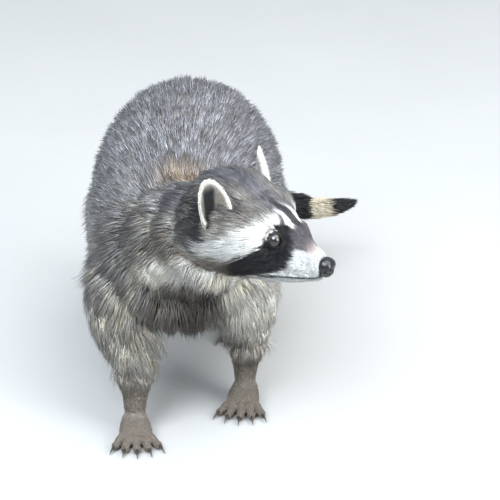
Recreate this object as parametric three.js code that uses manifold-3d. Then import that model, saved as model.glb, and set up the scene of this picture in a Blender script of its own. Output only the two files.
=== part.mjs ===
// A raccoon (Procyon lotor), life size, standing in mid-step with its head turned to its own left.
// Millimetres, +Z up. It faces -Y, its own left is +X, and the floor is Z = 0.
// Every solid is the outline of the animal with its coat on. The whole is moved at the end so that
// the origin is the middle of the bottom of its box.
import * as THREE from "three";
import { mergeVertices } from "three/addons/utils/BufferGeometryUtils.js";
import Module from "manifold-3d";

const wasm = await Module();
wasm.setup();

// ---- Driving dimensions ----
const GAP = 0.3; // between two pieces that meet
const HEAD_AT = [49.3, -178, 268.8]; // midway between the two ear roots
const HEAD_YAW = 62; // degrees the muzzle is turned from straight ahead to the animal's left
const HEAD_PITCH = 6; // degrees the muzzle is dropped
const HEAD_ROLL = 1.5; // degrees the head is tipped about the muzzle
const EYE = { side: 19.4, ahead: 60, up: -16.5, radius: 7.6 };
const EAR = { side: 47, ahead: 3, up: 11.5, width: 18, half: 28.5, thick: 3.2, cup: 12, splay: 17, turn: 34 };
const NOSE = { ahead: 107.6, up: -37.4, width: 10, deep: 8.5, high: 10.4 };
const MOUTH = { up: -67, corner: 30, slope: -0.19 }; // the cut between the head and the lower jaw
const FORELEG_CUTS = [90, 30]; // heights of the cuts at the elbow and the wrist
const HINDLEG_CUTS = [84, 34]; // heights of the cuts at the knee and the hock
const FINGER = { spread: [-26, -12, 0, 12, 26], apart: 6.8, radius: 4.3, tip: 3.3 };
const CLAW = { length: 11, radius: 1.9, droop: 4 };

const COLOUR = {
  back: 0x6f6862,
  flank: 0x8d857a,
  pale: 0xcfc8b8,
  dark: 0x2c2926,
  claw: 0x3a342e,
  nose: 0x17161a,
};

// ---- Making and cutting solids ----
// A station of a loft is [x, y, z, half width, half height above, half height below].

/** The smooth curve through three numbers of each station, starting at number `first`. */
function through(stations, first) {
  const points = stations.map((s) => new THREE.Vector3(...s.slice(first, first + 3)));
  return new THREE.CatmullRomCurve3(points, false, "catmullrom", 0.5);
}

/**
 * A closed body whose egg-shaped sections follow the stations' curve. It is a sphere geometry, each ring of
 * which is moved onto a section. The ends close in domes of `domes` millimetres, each made of `caps` rings. A
 * `square` under 1 squares the shoulders of each section's upper half, which flattens its top.
 */
function loft(stations, { sides, rings, caps = 3, domes, up = [0, 0, 1], square = 1, grow = 0 }) {
  const line = through(stations, 0);
  const sizes = through(stations, 3);
  const rows = rings + 2 * caps;
  const body = new THREE.SphereGeometry(1, sides, rows);
  const place = body.getAttribute("position");
  const reference = new THREE.Vector3(...up);
  for (let row = 0; row <= rows; row++) {
    const t = THREE.MathUtils.clamp((row - caps) / rings, 0, 1);
    const capShare = Math.max(caps - row, row - rings - caps, 0) / caps;
    const bend = (capShare * Math.PI) / 2;
    const dome = row < caps ? -domes[0] - grow : domes[1] + grow;
    const along = line.getTangent(t);
    const side = along.clone().cross(reference).normalize();
    const above = side.clone().cross(along);
    const centre = line.getPoint(t).addScaledVector(along, dome * Math.sin(bend));
    const size = sizes.getPoint(t).addScalar(grow).multiplyScalar(Math.cos(bend));
    for (let column = 0; column <= sides; column++) {
      const angle = (column / sides) * 2 * Math.PI;
      const [wide, high] = [Math.cos(angle), Math.sin(angle)];
      const power = high > 0 ? square : 1;
      const point = centre.clone().addScaledVector(side, size.x * Math.sign(wide) * Math.abs(wide) ** power);
      point.addScaledVector(above, high > 0 ? size.y * high ** power : size.z * high);
      place.setXYZ(row * (sides + 1) + column, ...point);
    }
  }
  return body;
}

/** A geometry, moved by an optional matrix, as a solid with its faces pointing out. */
function solid(geometry, matrix = new THREE.Matrix4()) {
  const bare = geometry.clone().applyMatrix4(matrix);
  bare.deleteAttribute("normal");
  bare.deleteAttribute("uv");
  const merged = mergeVertices(bare, 1e-3);
  const triVerts = new Uint32Array(merged.index.array);
  const vertProperties = merged.getAttribute("position").array;
  const make = () => new wasm.Manifold(new wasm.Mesh({ numProp: 3, vertProperties, triVerts }));
  if (make().volume() > 0) return make();
  for (let i = 0; i < triVerts.length; i += 3) {
    [triVerts[i], triVerts[i + 1]] = [triVerts[i + 1], triVerts[i]];
  }
  return make();
}

/** A block that fills all of the space on the side of the plane through `point` that `facing` points to. */
function beyond(point, facing) {
  const reach = 1200;
  const block = new THREE.BoxGeometry(reach, reach, reach).translate(0, 0, reach / 2);
  const direction = new THREE.Vector3(...facing).normalize();
  block.applyQuaternion(new THREE.Quaternion().setFromUnitVectors(new THREE.Vector3(0, 0, 1), direction));
  return solid(block.translate(...point));
}

/** The two pieces of a solid, behind and beyond a plane, with a thin cut between them. */
function parted(made, point, facing) {
  const direction = new THREE.Vector3(...facing).normalize();
  const edge = (share) => [...new THREE.Vector3(...point).addScaledVector(direction, share * GAP)];
  return [
    made.subtract(beyond(edge(-0.5), [...direction])),
    made.subtract(beyond(edge(0.5), [...direction.negate()])),
  ];
}

const joined = (solids) => solids.reduce((whole, piece) => whole.add(piece));
const radians = THREE.MathUtils.degToRad;

const raccoon = new THREE.Group();

/** Adds a solid as a named mesh whose own origin is the middle of its box. */
function add(name, made, colour, group = raccoon) {
  const { vertProperties, triVerts } = made.getMesh();
  const geometry = new THREE.BufferGeometry();
  geometry.setAttribute("position", new THREE.BufferAttribute(vertProperties, 3));
  geometry.setIndex(new THREE.BufferAttribute(triVerts, 1));
  geometry.computeBoundingBox();
  const middle = geometry.boundingBox.getCenter(new THREE.Vector3());
  geometry.translate(-middle.x, -middle.y, -middle.z);
  geometry.computeVertexNormals();
  const material = new THREE.MeshStandardMaterial({ color: colour, roughness: 0.9, metalness: 0 });
  const mesh = new THREE.Mesh(geometry, material);
  mesh.name = name;
  mesh.position.copy(middle);
  group.add(mesh);
}

// ---- Trunk and neck: one body, parted into rump, loin, chest and neck ----
const TRUNK = [
  [0, -126, 166, 62, 56, 66],
  [0, -88, 171, 90, 84, 88],
  [0, -36, 170, 100, 92, 93],
  [1, 20, 170, 103, 97, 93],
  [3, 76, 173, 103, 101, 93],
  [4, 130, 174, 101, 103, 90],
  [5, 180, 171, 90, 94, 78],
  [6, 216, 165, 62, 67, 54],
];
const NECK = [
  [-2, -70, 182, 68, 60, 62],
  [2, -92, 193, 74, 65, 68],
  [12, -118, 206, 72, 62, 68],
  [25, -141, 220, 66, 57, 63],
  [38, -162, 235, 60, 52, 58],
];
const TRUNK_SHAPE = { sides: 18, rings: 13, domes: [30, 26] };
const NECK_SHAPE = { sides: 18, rings: 6, caps: 2, domes: [10, 14] };
const RUMP_START = 92;
const CHEST_END = -24;
const NECK_START = [12, -118, 206];
const NECK_LEAN = [0.4, -0.8, 0.45]; // the way the neck leaves the chest

/** The trunk and the neck as one solid, swollen by `grow`. */
const torso = (grow) =>
  solid(loft(TRUNK, { ...TRUNK_SHAPE, grow })).add(solid(loft(NECK, { ...NECK_SHAPE, grow })));
const torsoRoom = torso(GAP);
const [front, rump] = parted(torso(0), [0, RUMP_START, 0], [0, 1, 0]);
const [forequarters, loin] = parted(front, [0, CHEST_END, 0], [0, 1, 0]);
const [chest, neckWhole] = parted(forequarters, NECK_START, NECK_LEAN);
add("rump", rump, COLOUR.back);
add("loin", loin, COLOUR.back);
add("chest", chest, COLOUR.flank);

// ---- Head, in a turned frame of its own: the muzzle points along -Y and its left is +X ----
const headFrame = new THREE.Group();
headFrame.position.set(...HEAD_AT);
headFrame.rotation.set(radians(HEAD_PITCH), radians(HEAD_ROLL), radians(HEAD_YAW), "ZXY");
headFrame.updateMatrix();
raccoon.add(headFrame);

const HEAD = [
  [0, -105, -36, 10, 9.5, 11],
  [0, -99, -37.5, 13.5, 14, 15],
  [0, -89, -39, 16.5, 21.5, 19],
  [0, -79, -39, 19.5, 28.5, 24],
  [0, -69, -37, 22.5, 33.5, 30],
  [0, -58, -35, 27, 38, 35],
  [0, -46, -32, 36, 41, 40],
  [0, -32, -29, 50, 44, 44],
  [0, -16, -27, 60, 49, 46],
  [0, 0, -25, 63, 51, 46],
  [0, 16, -22, 59, 47, 44],
  [0, 30, -20, 48, 38, 38],
];
const HEAD_SHAPE = { sides: 22, rings: 16, caps: 2, domes: [4, 16], square: 0.7 };
const ball = (place, size, columns, rows) => {
  const round = new THREE.SphereGeometry(1, columns, rows).rotateX(Math.PI / 2);
  return solid(round.scale(...size).translate(...place));
};

/** One ear, a cupped leaf: a flattened ball, wide low down, whose edges curl forward. */
function ear(sign, grow = 0) {
  const leaf = new THREE.SphereGeometry(1, 12, 8);
  const place = leaf.getAttribute("position");
  for (let i = 0; i < place.count; i++) {
    const [across, high, deep] = [place.getX(i), place.getY(i), place.getZ(i)];
    const x = across * (EAR.width + grow) * (1 - 0.16 * high);
    const z = high * (EAR.half + grow);
    const curl = -EAR.cup * (x / EAR.width) ** 2 * (1 - (0.35 * z) / EAR.half);
    place.setXYZ(i, x, deep * (EAR.thick + grow) + curl, z);
  }
  leaf.rotateY(sign * radians(EAR.splay));
  leaf.rotateZ(sign * radians(EAR.turn));
  return solid(leaf.translate(sign * EAR.side, -EAR.ahead, EAR.up));
}

const headWhole = solid(loft(HEAD, HEAD_SHAPE));
const headRoom = solid(loft(HEAD, { ...HEAD_SHAPE, grow: GAP }), headFrame.matrix);
const eyeAt = (sign) => [sign * EYE.side, -EYE.ahead, EYE.up];
const noseAt = [0, -NOSE.ahead, NOSE.up];
const noseSize = (grow) => [NOSE.width + grow, NOSE.deep + grow, NOSE.high + grow];
const eyeSize = (grow) => [1, 1, 1].map((one) => one * (EYE.radius + grow));

let skull = headWhole.subtract(ball(noseAt, noseSize(GAP), 12, 7));
for (const sign of [-1, 1]) {
  skull = skull.subtract(ball(eyeAt(sign), eyeSize(GAP), 8, 6)).subtract(ear(sign, 2 * GAP));
}
const jawSpace = (gap) =>
  beyond([0, 0, MOUTH.up + gap], [0, MOUTH.slope, -1]).intersect(
    beyond([0, -MOUTH.corner + gap, 0], [0, -1, 0.35]),
  );
add("head", skull.subtract(jawSpace(GAP)), COLOUR.pale, headFrame);
add("lower_jaw", skull.intersect(jawSpace(0)), COLOUR.pale, headFrame);
add("nose", ball(noseAt, noseSize(0), 12, 7), COLOUR.nose, headFrame);
for (const [name, sign] of [["right", -1], ["left", 1]]) {
  add(`eye_${name}`, ball(eyeAt(sign), eyeSize(0), 8, 6), COLOUR.nose, headFrame);
  add(`ear_${name}`, ear(sign), COLOUR.pale, headFrame);
}

const earRoom = joined([-1, 1].map((sign) => ear(sign, 2 * GAP))).transform(headFrame.matrix.toArray());
add("neck", neckWhole.subtract(headRoom).subtract(earRoom), COLOUR.back);

// ---- Tail, in three lengths ----
const TAIL = [
  [2, 216, 180, 28, 28, 28],
  [10, 250, 146, 28, 28, 28],
  [38, 280, 106, 24.5, 24.5, 24.5],
  [82, 292, 80, 20, 20, 20],
  [124, 292, 70.5, 17.5, 17.5, 17.5],
  [160, 286, 72.5, 13.5, 13.5, 13.5],
  [184, 282, 80, 5, 5, 5],
];
const tailLine = through(TAIL, 0);
const tail = solid(loft(TAIL, { sides: 10, rings: 11, caps: 2, domes: [8, 6], up: [0, 1, 0] }));
const tailCut = (share) => [[...tailLine.getPoint(share)], [...tailLine.getTangent(share)]];
const [tailBase, tailRest] = parted(tail.subtract(torsoRoom), ...tailCut(0.36));
const [tailMiddle, tailTip] = parted(tailRest, ...tailCut(0.7));
add("tail_base", tailBase, COLOUR.dark);
add("tail_middle", tailMiddle, COLOUR.flank);
add("tail_tip", tailTip, COLOUR.dark);

// ---- Paws, each in a frame of its own: the toes point along -Y and the sole is at Z = 0 ----
const SINK = 1.6; // how far the sole and toes are let into the floor, to be cut flat
const FOREPAW = {
  palm: [
    [0, 8, 16, 11, 12, 14],
    [0, -6, 13, 15, 12, 13 + SINK],
    [0, -20, 10, 17, 9, 10 + SINK],
    [0, -31, 8, 16, 6, 8 + SINK],
  ],
  toes: [20, 26, 28, 26, 21],
};
const HINDPAW = {
  palm: [
    [0, 10, 13, 12, 14, 13 + SINK],
    [0, -12, 13, 14, 14, 13 + SINK],
    [0, -36, 10, 16.5, 11, 10 + SINK],
    [0, -58, 8, 16.5, 7, 8 + SINK],
  ],
  toes: [17, 23, 25, 23, 18],
};

/** The paw and its five claws as solids, at a place on the floor and turned about Z by `turn` degrees. */
function paw({ palm, toes }, [x, y], turn) {
  const frame = new THREE.Matrix4().makeRotationZ(radians(turn)).setPosition(x, y, 0);
  const knuckles = palm.at(-1)[1] + 5;
  const floor = beyond([0, 0, 0], [0, 0, -1]);
  const pieces = [solid(loft(palm, { sides: 10, rings: 4, caps: 2, domes: [7, 6] }), frame)];
  const claws = [];
  toes.forEach((length, i) => {
    const fan = radians(FINGER.spread[i]);
    const start = (i - 2) * FINGER.apart;
    const at = (share, z) => [
      start + Math.sin(fan) * length * share,
      knuckles - Math.cos(fan) * length * share,
      z,
    ];
    const finger = [
      [...at(0, 7), FINGER.radius, 4.5, 7 + SINK],
      [...at(0.55, 6), FINGER.radius, 4.3, 6 + SINK],
      [...at(1, 4), FINGER.tip, 3.3, 4 + SINK],
    ];
    const nail = [
      [...at(1, 5), CLAW.radius, CLAW.radius, CLAW.radius],
      [...at(1 + CLAW.length / length / 2, 5), 1.5, 1.6, 1.5],
      [...at(1 + CLAW.length / length, CLAW.droop / 2), 0.6, 0.6, 0.6],
    ];
    const toe = { sides: 6, rings: 2, caps: 1, domes: [3, 3] };
    pieces.push(solid(loft(finger, toe), frame));
    const room = solid(loft(finger, { ...toe, grow: GAP }), frame);
    const horn = solid(loft(nail, { sides: 4, rings: 2, caps: 1, domes: [2, 0.6] }), frame);
    claws.push(horn.subtract(room).subtract(floor));
  });
  return { flesh: joined(pieces).subtract(floor), claws };
}

// ---- Legs: the right foreleg and the left hindleg are ahead ----
const LEG_SHAPE = { sides: 12, rings: 9, caps: 2, domes: [10, 8], up: [0, -1, 0] };
const LEGS = [
  {
    names: ["shoulder_right", "forearm_right", "forepaw_right"],
    stations: [
      [-52, -82, 158, 44, 44, 48],
      [-61, -88, 126, 44, 42, 44],
      [-57, -98, 96, 44, 37, 36],
      [-47, -113, 70, 32, 27, 25],
      [-46, -125, 46, 18, 18, 17],
      [-47, -130, 24, 13, 15, 14],
    ],
    cuts: FORELEG_CUTS,
    paw: [FOREPAW, [-47, -131], 4],
  },
  {
    names: ["shoulder_left", "forearm_left", "forepaw_left"],
    stations: [
      [54, -76, 158, 42, 44, 48],
      [64, -70, 126, 39, 42, 44],
      [66, -62, 96, 35, 36, 35],
      [66, -56, 70, 27, 26, 25],
      [64, -54, 46, 17, 18, 17],
      [63, -56, 24, 13, 15, 14],
    ],
    cuts: FORELEG_CUTS,
    paw: [FOREPAW, [63, -57], -6],
  },
  {
    names: ["thigh_left", "shank_left", "hindpaw_left"],
    stations: [
      [58, 128, 160, 50, 68, 72],
      [71, 118, 124, 45, 62, 66],
      [76, 117, 94, 36, 46, 51],
      [72, 133, 64, 24, 29, 31],
      [68, 146, 42, 16, 19, 20],
      [66, 148, 22, 13, 17, 17],
    ],
    cuts: HINDLEG_CUTS,
    paw: [HINDPAW, [66, 146], -6],
  },
  {
    names: ["thigh_right", "shank_right", "hindpaw_right"],
    stations: [
      [-48, 138, 160, 50, 68, 72],
      [-63, 140, 124, 45, 62, 66],
      [-68, 153, 94, 36, 46, 51],
      [-66, 180, 64, 24, 29, 31],
      [-62, 197, 42, 16, 19, 20],
      [-60, 200, 22, 13, 17, 17],
    ],
    cuts: HINDLEG_CUTS,
    paw: [HINDPAW, [-60, 198], 6],
  },
];

for (const { names, stations, cuts: [middle, low], paw: [kind, place, turn] } of LEGS) {
  const foot = paw(kind, place, turn);
  const limb = solid(loft(stations, LEG_SHAPE)).subtract(torsoRoom).add(foot.flesh);
  const [above, footPiece] = parted(limb, [0, 0, low], [0, 0, -1]);
  const [upper, lower] = parted(above, [0, 0, middle], [0, 0, -1]);
  add(names[0], upper, COLOUR.flank);
  add(names[1], lower, COLOUR.flank);
  add(names[2], footPiece, COLOUR.dark);
  foot.claws.forEach((claw, i) => add(`claw_${names[2]}_${i + 1}`, claw, COLOUR.claw));
}

// ---- The origin is the middle of the bottom of the box ----
const box = new THREE.Box3().setFromObject(raccoon, true);
const middle = box.getCenter(new THREE.Vector3());
raccoon.position.set(-middle.x, -middle.y, -box.min.z);

export default raccoon;
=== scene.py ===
"""The skin, coat, eyes, nose and claws of a life-size standing raccoon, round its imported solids.

Lengths are millimetres in the animal's own frame until a mesh is made: it faces -Y, its own left is +X and
the floor is Z = 0. The head has a turned frame of its own, in which the muzzle points along -Y.
"""

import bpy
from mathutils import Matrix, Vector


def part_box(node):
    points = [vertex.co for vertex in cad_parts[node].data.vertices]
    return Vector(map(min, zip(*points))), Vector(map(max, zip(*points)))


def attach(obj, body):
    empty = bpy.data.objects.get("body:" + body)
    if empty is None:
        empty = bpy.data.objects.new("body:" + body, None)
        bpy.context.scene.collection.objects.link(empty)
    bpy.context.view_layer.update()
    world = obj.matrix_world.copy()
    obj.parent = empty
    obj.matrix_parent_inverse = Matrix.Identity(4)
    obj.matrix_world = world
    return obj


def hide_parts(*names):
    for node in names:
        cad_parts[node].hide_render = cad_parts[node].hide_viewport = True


bl_info = {
    "name": "Standing raccoon",
    "version": (1, 0, 0),
    "blender": (4, 5, 0),
    "location": "3D View > Sidebar > Raccoon",
    "description": "Builds the skin, coat, eyes, nose and claws of a standing raccoon",
    "category": "Object",
}

import bmesh
import bpy
import numpy as np
from mathutils import Matrix, Vector

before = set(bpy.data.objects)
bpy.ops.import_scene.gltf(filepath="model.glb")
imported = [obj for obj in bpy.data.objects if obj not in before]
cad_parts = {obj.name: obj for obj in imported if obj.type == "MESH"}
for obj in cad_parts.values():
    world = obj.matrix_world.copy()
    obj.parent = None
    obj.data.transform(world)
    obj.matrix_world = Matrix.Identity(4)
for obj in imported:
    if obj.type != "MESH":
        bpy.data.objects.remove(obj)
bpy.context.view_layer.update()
BODY = "root"
MM = 0.001


# ---------------------------------------------------------------------------
# Turning and curves
# ---------------------------------------------------------------------------

def turned(axis, degrees):
    """The 3 by 3 rotation about X, Y or Z."""
    return np.array(Matrix.Rotation(np.radians(degrees), 3, axis))


def unit(vectors):
    """Each row divided by its own length."""
    return vectors / np.maximum(np.linalg.norm(vectors, axis=-1, keepdims=True), 1e-9)


def dot(a, b):
    """The row by row scalar product, kept as a column."""
    return np.sum(a * b, axis=-1, keepdims=True)


def ramp(low, high, value):
    """0 below `low`, 1 above `high`, and the smooth cubic 3s^2 - 2s^3 of the share s between them."""
    share = np.clip((value - low) / (high - low), 0, 1)
    return share * share * (3 - 2 * share)


def bell(value, width):
    """The bell curve exp(-(value / width)^2)."""
    return np.exp(-((value / width) ** 2))


def mix(a, b, share):
    """a where share is 0, b where it is 1."""
    return a + (b - a) * share


def spline(points, share):
    """The smooth curve through the rows of `points`, at shares 0 to 1 of the way along them.

    Each span is the cubic whose slope at a point is half the step between that point's two neighbours, and
    each end has a neighbour that mirrors the next point.
    """
    padded = np.vstack([2 * points[0] - points[1], points, 2 * points[-1] - points[-2]])
    place = np.clip(share, 0, 1) * (len(points) - 1)
    span = np.minimum(place.astype(int), len(points) - 2)
    t = (place - span)[:, None]
    a, b, c, d = (padded[span + k] for k in range(4))
    return 0.5 * (2 * b + (c - a) * t + (2 * a - 5 * b + 4 * c - d) * t**2 + (3 * b - a - 3 * c + d) * t**3)


def level(points, value):
    """The height at `value` of a broken line through (place, height) pairs."""
    places, heights = np.array(sorted(points)).T
    return np.interp(value, places, heights)


# ---------------------------------------------------------------------------
# The body's measures: each station is x, y, z, half width, half height above and below, and coat depth
# ---------------------------------------------------------------------------

# The head's frame: its origin, between the ears and just below their middles, and its turn
HEAD_AT = np.array([49.3, -178.0, 268.8])
HEAD_TURN = turned("Z", 62) @ turned("X", 6) @ turned("Y", 1.5)
# The left eye's middle in that frame, its radius, and how much further its cornea stands out
EYE_AT = np.array([19.4, -60.0, -16.5])
EYE_RADIUS, CORNEA = 7.35, 0.45
# The opening between the lids of the left eye: its half length and half height above and below its middle, the
# way it looks, and the way its length runs
EYE_HALF = (6.9, 5.7, 5.3)
GAZE = (0.74, -0.64, 0.17)
EYE_LINE = (0.0, -1.0, -0.32)
NOSE_AT = np.array([0.0, -107.6, -37.4])
# An ear's middle in the head's frame, its half width, half length and half thickness, how far its edges curl
# forward, how far it leans outwards and turns in degrees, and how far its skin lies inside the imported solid
EAR = {
    "side": 47, "ahead": 3, "up": 11.5, "width": 18, "half": 28.5, "thick": 1.1, "cup": 12, "splay": 17,
    "turn": 34, "inset": 2.5,
}
# The hollow at the foot of an ear, in the head's frame, where the hair is short
EAR_SEAT = np.array([50.0, -8.0, -3.0])
# The nose leather's half width, half depth and half height above and below, and a nostril's side and height
NOSE = {"width": 9.6, "deep": 8.2, "above": 9.6, "below": 10.2, "nostril": (4.3, -0.4)}

TRUNK = [
    (0, -126, 166, 62, 56, 66, 20), (0, -88, 171, 90, 84, 88, 22), (0, -36, 170, 100, 92, 93, 20),
    (1, 20, 170, 103, 97, 93, 19), (3, 76, 173, 103, 101, 93, 19), (4, 130, 174, 101, 103, 90, 20),
    (5, 180, 171, 90, 94, 78, 21), (6, 216, 165, 62, 67, 54, 20),
]
NECK = [
    (-2, -70, 182, 68, 60, 62, 22), (2, -92, 193, 74, 65, 68, 22), (12, -118, 206, 72, 62, 68, 22),
    (25, -141, 220, 66, 57, 63, 20), (38, -162, 235, 60, 52, 58, 18),
]
HEAD = [
    (0, -105, -36, 10, 9.5, 11, 0.5), (0, -99, -37.5, 13.5, 14, 15, 1.2), (0, -89, -39, 16.5, 21.5, 19, 1.9),
    (0, -79, -39, 19.5, 28.5, 24, 2.4), (0, -69, -37, 22.5, 33.5, 30, 2.8), (0, -58, -35, 27, 38, 35, 3.6),
    (0, -46, -32, 36, 41, 40, 6), (0, -32, -29, 50, 44, 44, 10), (0, -16, -27, 60, 49, 46, 14),
    (0, 0, -25, 63, 51, 46, 16), (0, 16, -22, 59, 47, 44, 17), (0, 30, -20, 48, 38, 38, 16),
]
TAIL = [
    (2, 216, 180, 28, 28, 28, 15), (10, 250, 146, 28, 28, 28, 16), (38, 280, 106, 24.5, 24.5, 24.5, 14.5),
    (82, 292, 80, 20, 20, 20, 11), (124, 292, 70.5, 17.5, 17.5, 17.5, 9.5),
    (160, 286, 72.5, 13.5, 13.5, 13.5, 8), (184, 282, 80, 5, 5, 5, 3),
]
LEGS = {
    "foreleg_right": [
        (-52, -82, 158, 44, 44, 48, 18), (-61, -88, 126, 44, 42, 44, 18), (-57, -98, 96, 44, 37, 36, 19),
        (-47, -113, 70, 32, 27, 25, 14), (-46, -125, 46, 18, 18, 17, 6), (-47, -130, 24, 13, 15, 14, 2),
    ],
    "foreleg_left": [
        (54, -76, 158, 42, 44, 48, 18), (64, -70, 126, 39, 42, 44, 17), (66, -62, 96, 35, 36, 35, 16),
        (66, -56, 70, 27, 26, 25, 12), (64, -54, 46, 17, 18, 17, 5), (63, -56, 24, 13, 15, 14, 2),
    ],
    "hindleg_left": [
        (58, 128, 160, 50, 68, 72, 20), (71, 118, 124, 45, 62, 66, 18), (76, 117, 94, 36, 46, 51, 15),
        (72, 133, 64, 24, 29, 31, 9), (68, 146, 42, 16, 19, 20, 4), (66, 148, 22, 13, 17, 17, 2),
    ],
    "hindleg_right": [
        (-48, 138, 160, 50, 68, 72, 20), (-63, 140, 124, 45, 62, 66, 18), (-68, 153, 94, 36, 46, 51, 15),
        (-66, 180, 64, 24, 29, 31, 9), (-62, 197, 42, 16, 19, 20, 4), (-60, 200, 22, 13, 17, 17, 2),
    ],
}
# A paw's palm in its own frame, and the lengths of its toes from the inner to the outer
FOREPAW = {
    "palm": [
        (0, 8, 16, 11, 12, 14, 1.6), (0, -6, 13, 15, 12, 13, 1.2), (0, -20, 10, 17, 9, 10, 1),
        (0, -31, 8, 16, 6, 8, 1),
    ],
    "toes": [20, 26, 28, 26, 21],
}
HINDPAW = {
    "palm": [
        (0, 10, 13, 12, 14, 13, 1.6), (0, -12, 13, 14, 14, 13, 1.2), (0, -36, 10, 16.5, 11, 10, 1),
        (0, -58, 8, 16.5, 7, 8, 1),
    ],
    "toes": [17, 23, 25, 23, 18],
}
# A toe's stations: share of its length, height, half width, and half height above and below
TOE = np.array([
    (0, 7, 4.3, 4.5, 7), (0.3, 6.8, 4.3, 4.6, 6.8), (0.6, 5.6, 3.956, 3.9, 5.6), (0.85, 5, 4.3, 4.4, 5),
    (1, 4, 3.3, 3.3, 4),
])
TOE_FAN = np.radians([-26, -12, 0, 12, 26])
TOE_PITCH, TOE_COAT, KNUCKLES = 6.8, 0.7, 5
# A claw's length beyond its toe and inside it, its radius, and how narrow it is from side to side
CLAW = {"length": 11, "root": 3.5, "radius": 2.1, "narrow": 0.78}
# Each paw's kind, place on the floor and turn in degrees
PAWS = {
    "forepaw_right": (FOREPAW, (-47, -131), 4), "forepaw_left": (FOREPAW, (63, -57), -6),
    "hindpaw_left": (HINDPAW, (66, 146), -6), "hindpaw_right": (HINDPAW, (-60, 198), 6),
}


class Loft:
    """A body of egg-shaped sections along a smooth curve through its stations.

    `domes` is how far its two ends stand out with the coat on, `up` the way its sections' tops face, `square`
    the power that squares them above the middle, and `thin` the shares of the coat's depth that its flesh lies
    inside the half width and the two half heights. `turn` and `at` place it.
    """

    def __init__(self, stations, domes, up=(0, 0, 1), square=1, thin=(1, 1, 1), turn=np.eye(3), at=(0, 0, 0)):
        self.stations = np.array(stations, float)
        self.domes, self.up, self.square = domes, np.array(up, float), square
        self.thin, self.turn, self.at = np.array(thin), turn, np.array(at, float)

    def sections(self, share):
        """Centre, side, above and along directions, flesh half sizes and coat depth at shares 0 to 1."""
        step = 1e-3
        row = spline(self.stations, share)
        along = unit(spline(self.stations, share + step)[:, :3] - spline(self.stations, share - step)[:, :3])
        side = unit(np.cross(along, self.up))
        above = np.cross(side, along)
        size = np.maximum(row[:, 3:6] - row[:, 6:] * self.thin, 1.0)
        return row[:, :3], side, above, along, size, row[:, 6]

    def surface(self, sides, rings, caps):
        """The flesh as a grid of points, rows along the body and columns round it.

        Point = centre + side * width * cos(angle) + above * height * sin(angle), with another height below
        and both raised to a power above. The ends close in domes, whose rings shrink as a cosine.
        """
        row = np.arange(rings + 2 * caps + 1)
        bend = np.maximum(caps - row, row - rings - caps).clip(0) / caps * np.pi / 2
        centre, side, above, along, size, coat = self.sections((row - caps) / rings)
        dome = np.where(row < caps, coat - self.domes[0], self.domes[1] - coat)
        dome = np.sign(dome) * np.maximum(np.abs(dome), 2.0)
        centre = centre + along * (dome * np.sin(bend))[:, None]
        size = size * np.cos(bend)[:, None]
        angle = np.arange(sides) / sides * 2 * np.pi
        wide, high = np.cos(angle), np.sin(angle)
        power = np.where(high > 0, self.square, 1)
        wide, high = np.sign(wide) * np.abs(wide) ** power, np.sign(high) * np.abs(high) ** power
        tall = np.where(high > 0, size[:, 1:2], size[:, 2:3]) * high
        points = centre[:, None] + side[:, None] * (size[:, :1] * wide)[..., None]
        return (points + above[:, None] * tall[..., None]) @ self.turn.T + self.at


def paw_lofts(paw):
    """The palm and the five toes of a paw, as lofts."""
    kind, (x, y), degrees = paw
    spot = {"turn": turned("Z", degrees), "at": (x, y, 0)}
    knuckles = kind["palm"][-1][1] + KNUCKLES
    share, height, *sizes = TOE.T
    lofts = [Loft(kind["palm"], (7, 6), **spot)]
    for number, (length, fan) in enumerate(zip(kind["toes"], TOE_FAN)):
        across = (number - 2) * TOE_PITCH + np.sin(fan) * length * share
        ahead = knuckles - np.cos(fan) * length * share
        toe = np.stack([across, ahead, height, *sizes, np.full(len(share), TOE_COAT)], 1)
        lofts.append(Loft(toe, (3, 3.5), **spot))
    return lofts


LEG_UP = (0, -1, 0)
LOFTS = {
    "trunk": Loft(TRUNK, (30, 26)),
    "neck": Loft(NECK, (10, 14)),
    "head": Loft(HEAD, (4, 16), square=0.7, thin=(1, 0.5, 0.8), turn=HEAD_TURN, at=HEAD_AT),
    "tail": Loft(TAIL, (8, 6), up=(0, 1, 0)),
    **{name: Loft(stations, (10, 8), up=LEG_UP) for name, stations in LEGS.items()},
    **{name: paw_lofts(paw)[0] for name, paw in PAWS.items()},
}
PART = {name: number for number, name in enumerate(LOFTS)}
IS_LEG = np.array([float(name in LEGS) for name in LOFTS])


def head_to_body(points):
    """Points of the head's own frame, in the animal's."""
    return points @ HEAD_TURN.T + HEAD_AT


def body_to_head(points):
    """Points of the animal's frame, in the head's own."""
    return (points - HEAD_AT) @ HEAD_TURN


def facing(points):
    """For points of the head's frame, the signs that turn those on its right side over to its left."""
    return np.where(points[:, :1] < 0, -1.0, 1.0) * [1, 0, 0] + [0, 1, 1]


def solids_shift():
    """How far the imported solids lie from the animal's frame, in millimetres: both hold the left eye."""
    low, high = (np.array(corner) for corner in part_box("eye_left"))
    return (low + high) / 2 / MM - head_to_body(EYE_AT)


SHIFT = solids_shift()


def place(points):
    """Points of the animal's frame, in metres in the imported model's frame."""
    return (points + SHIFT) * MM


# ---------------------------------------------------------------------------
# Meshes
# ---------------------------------------------------------------------------

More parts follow.
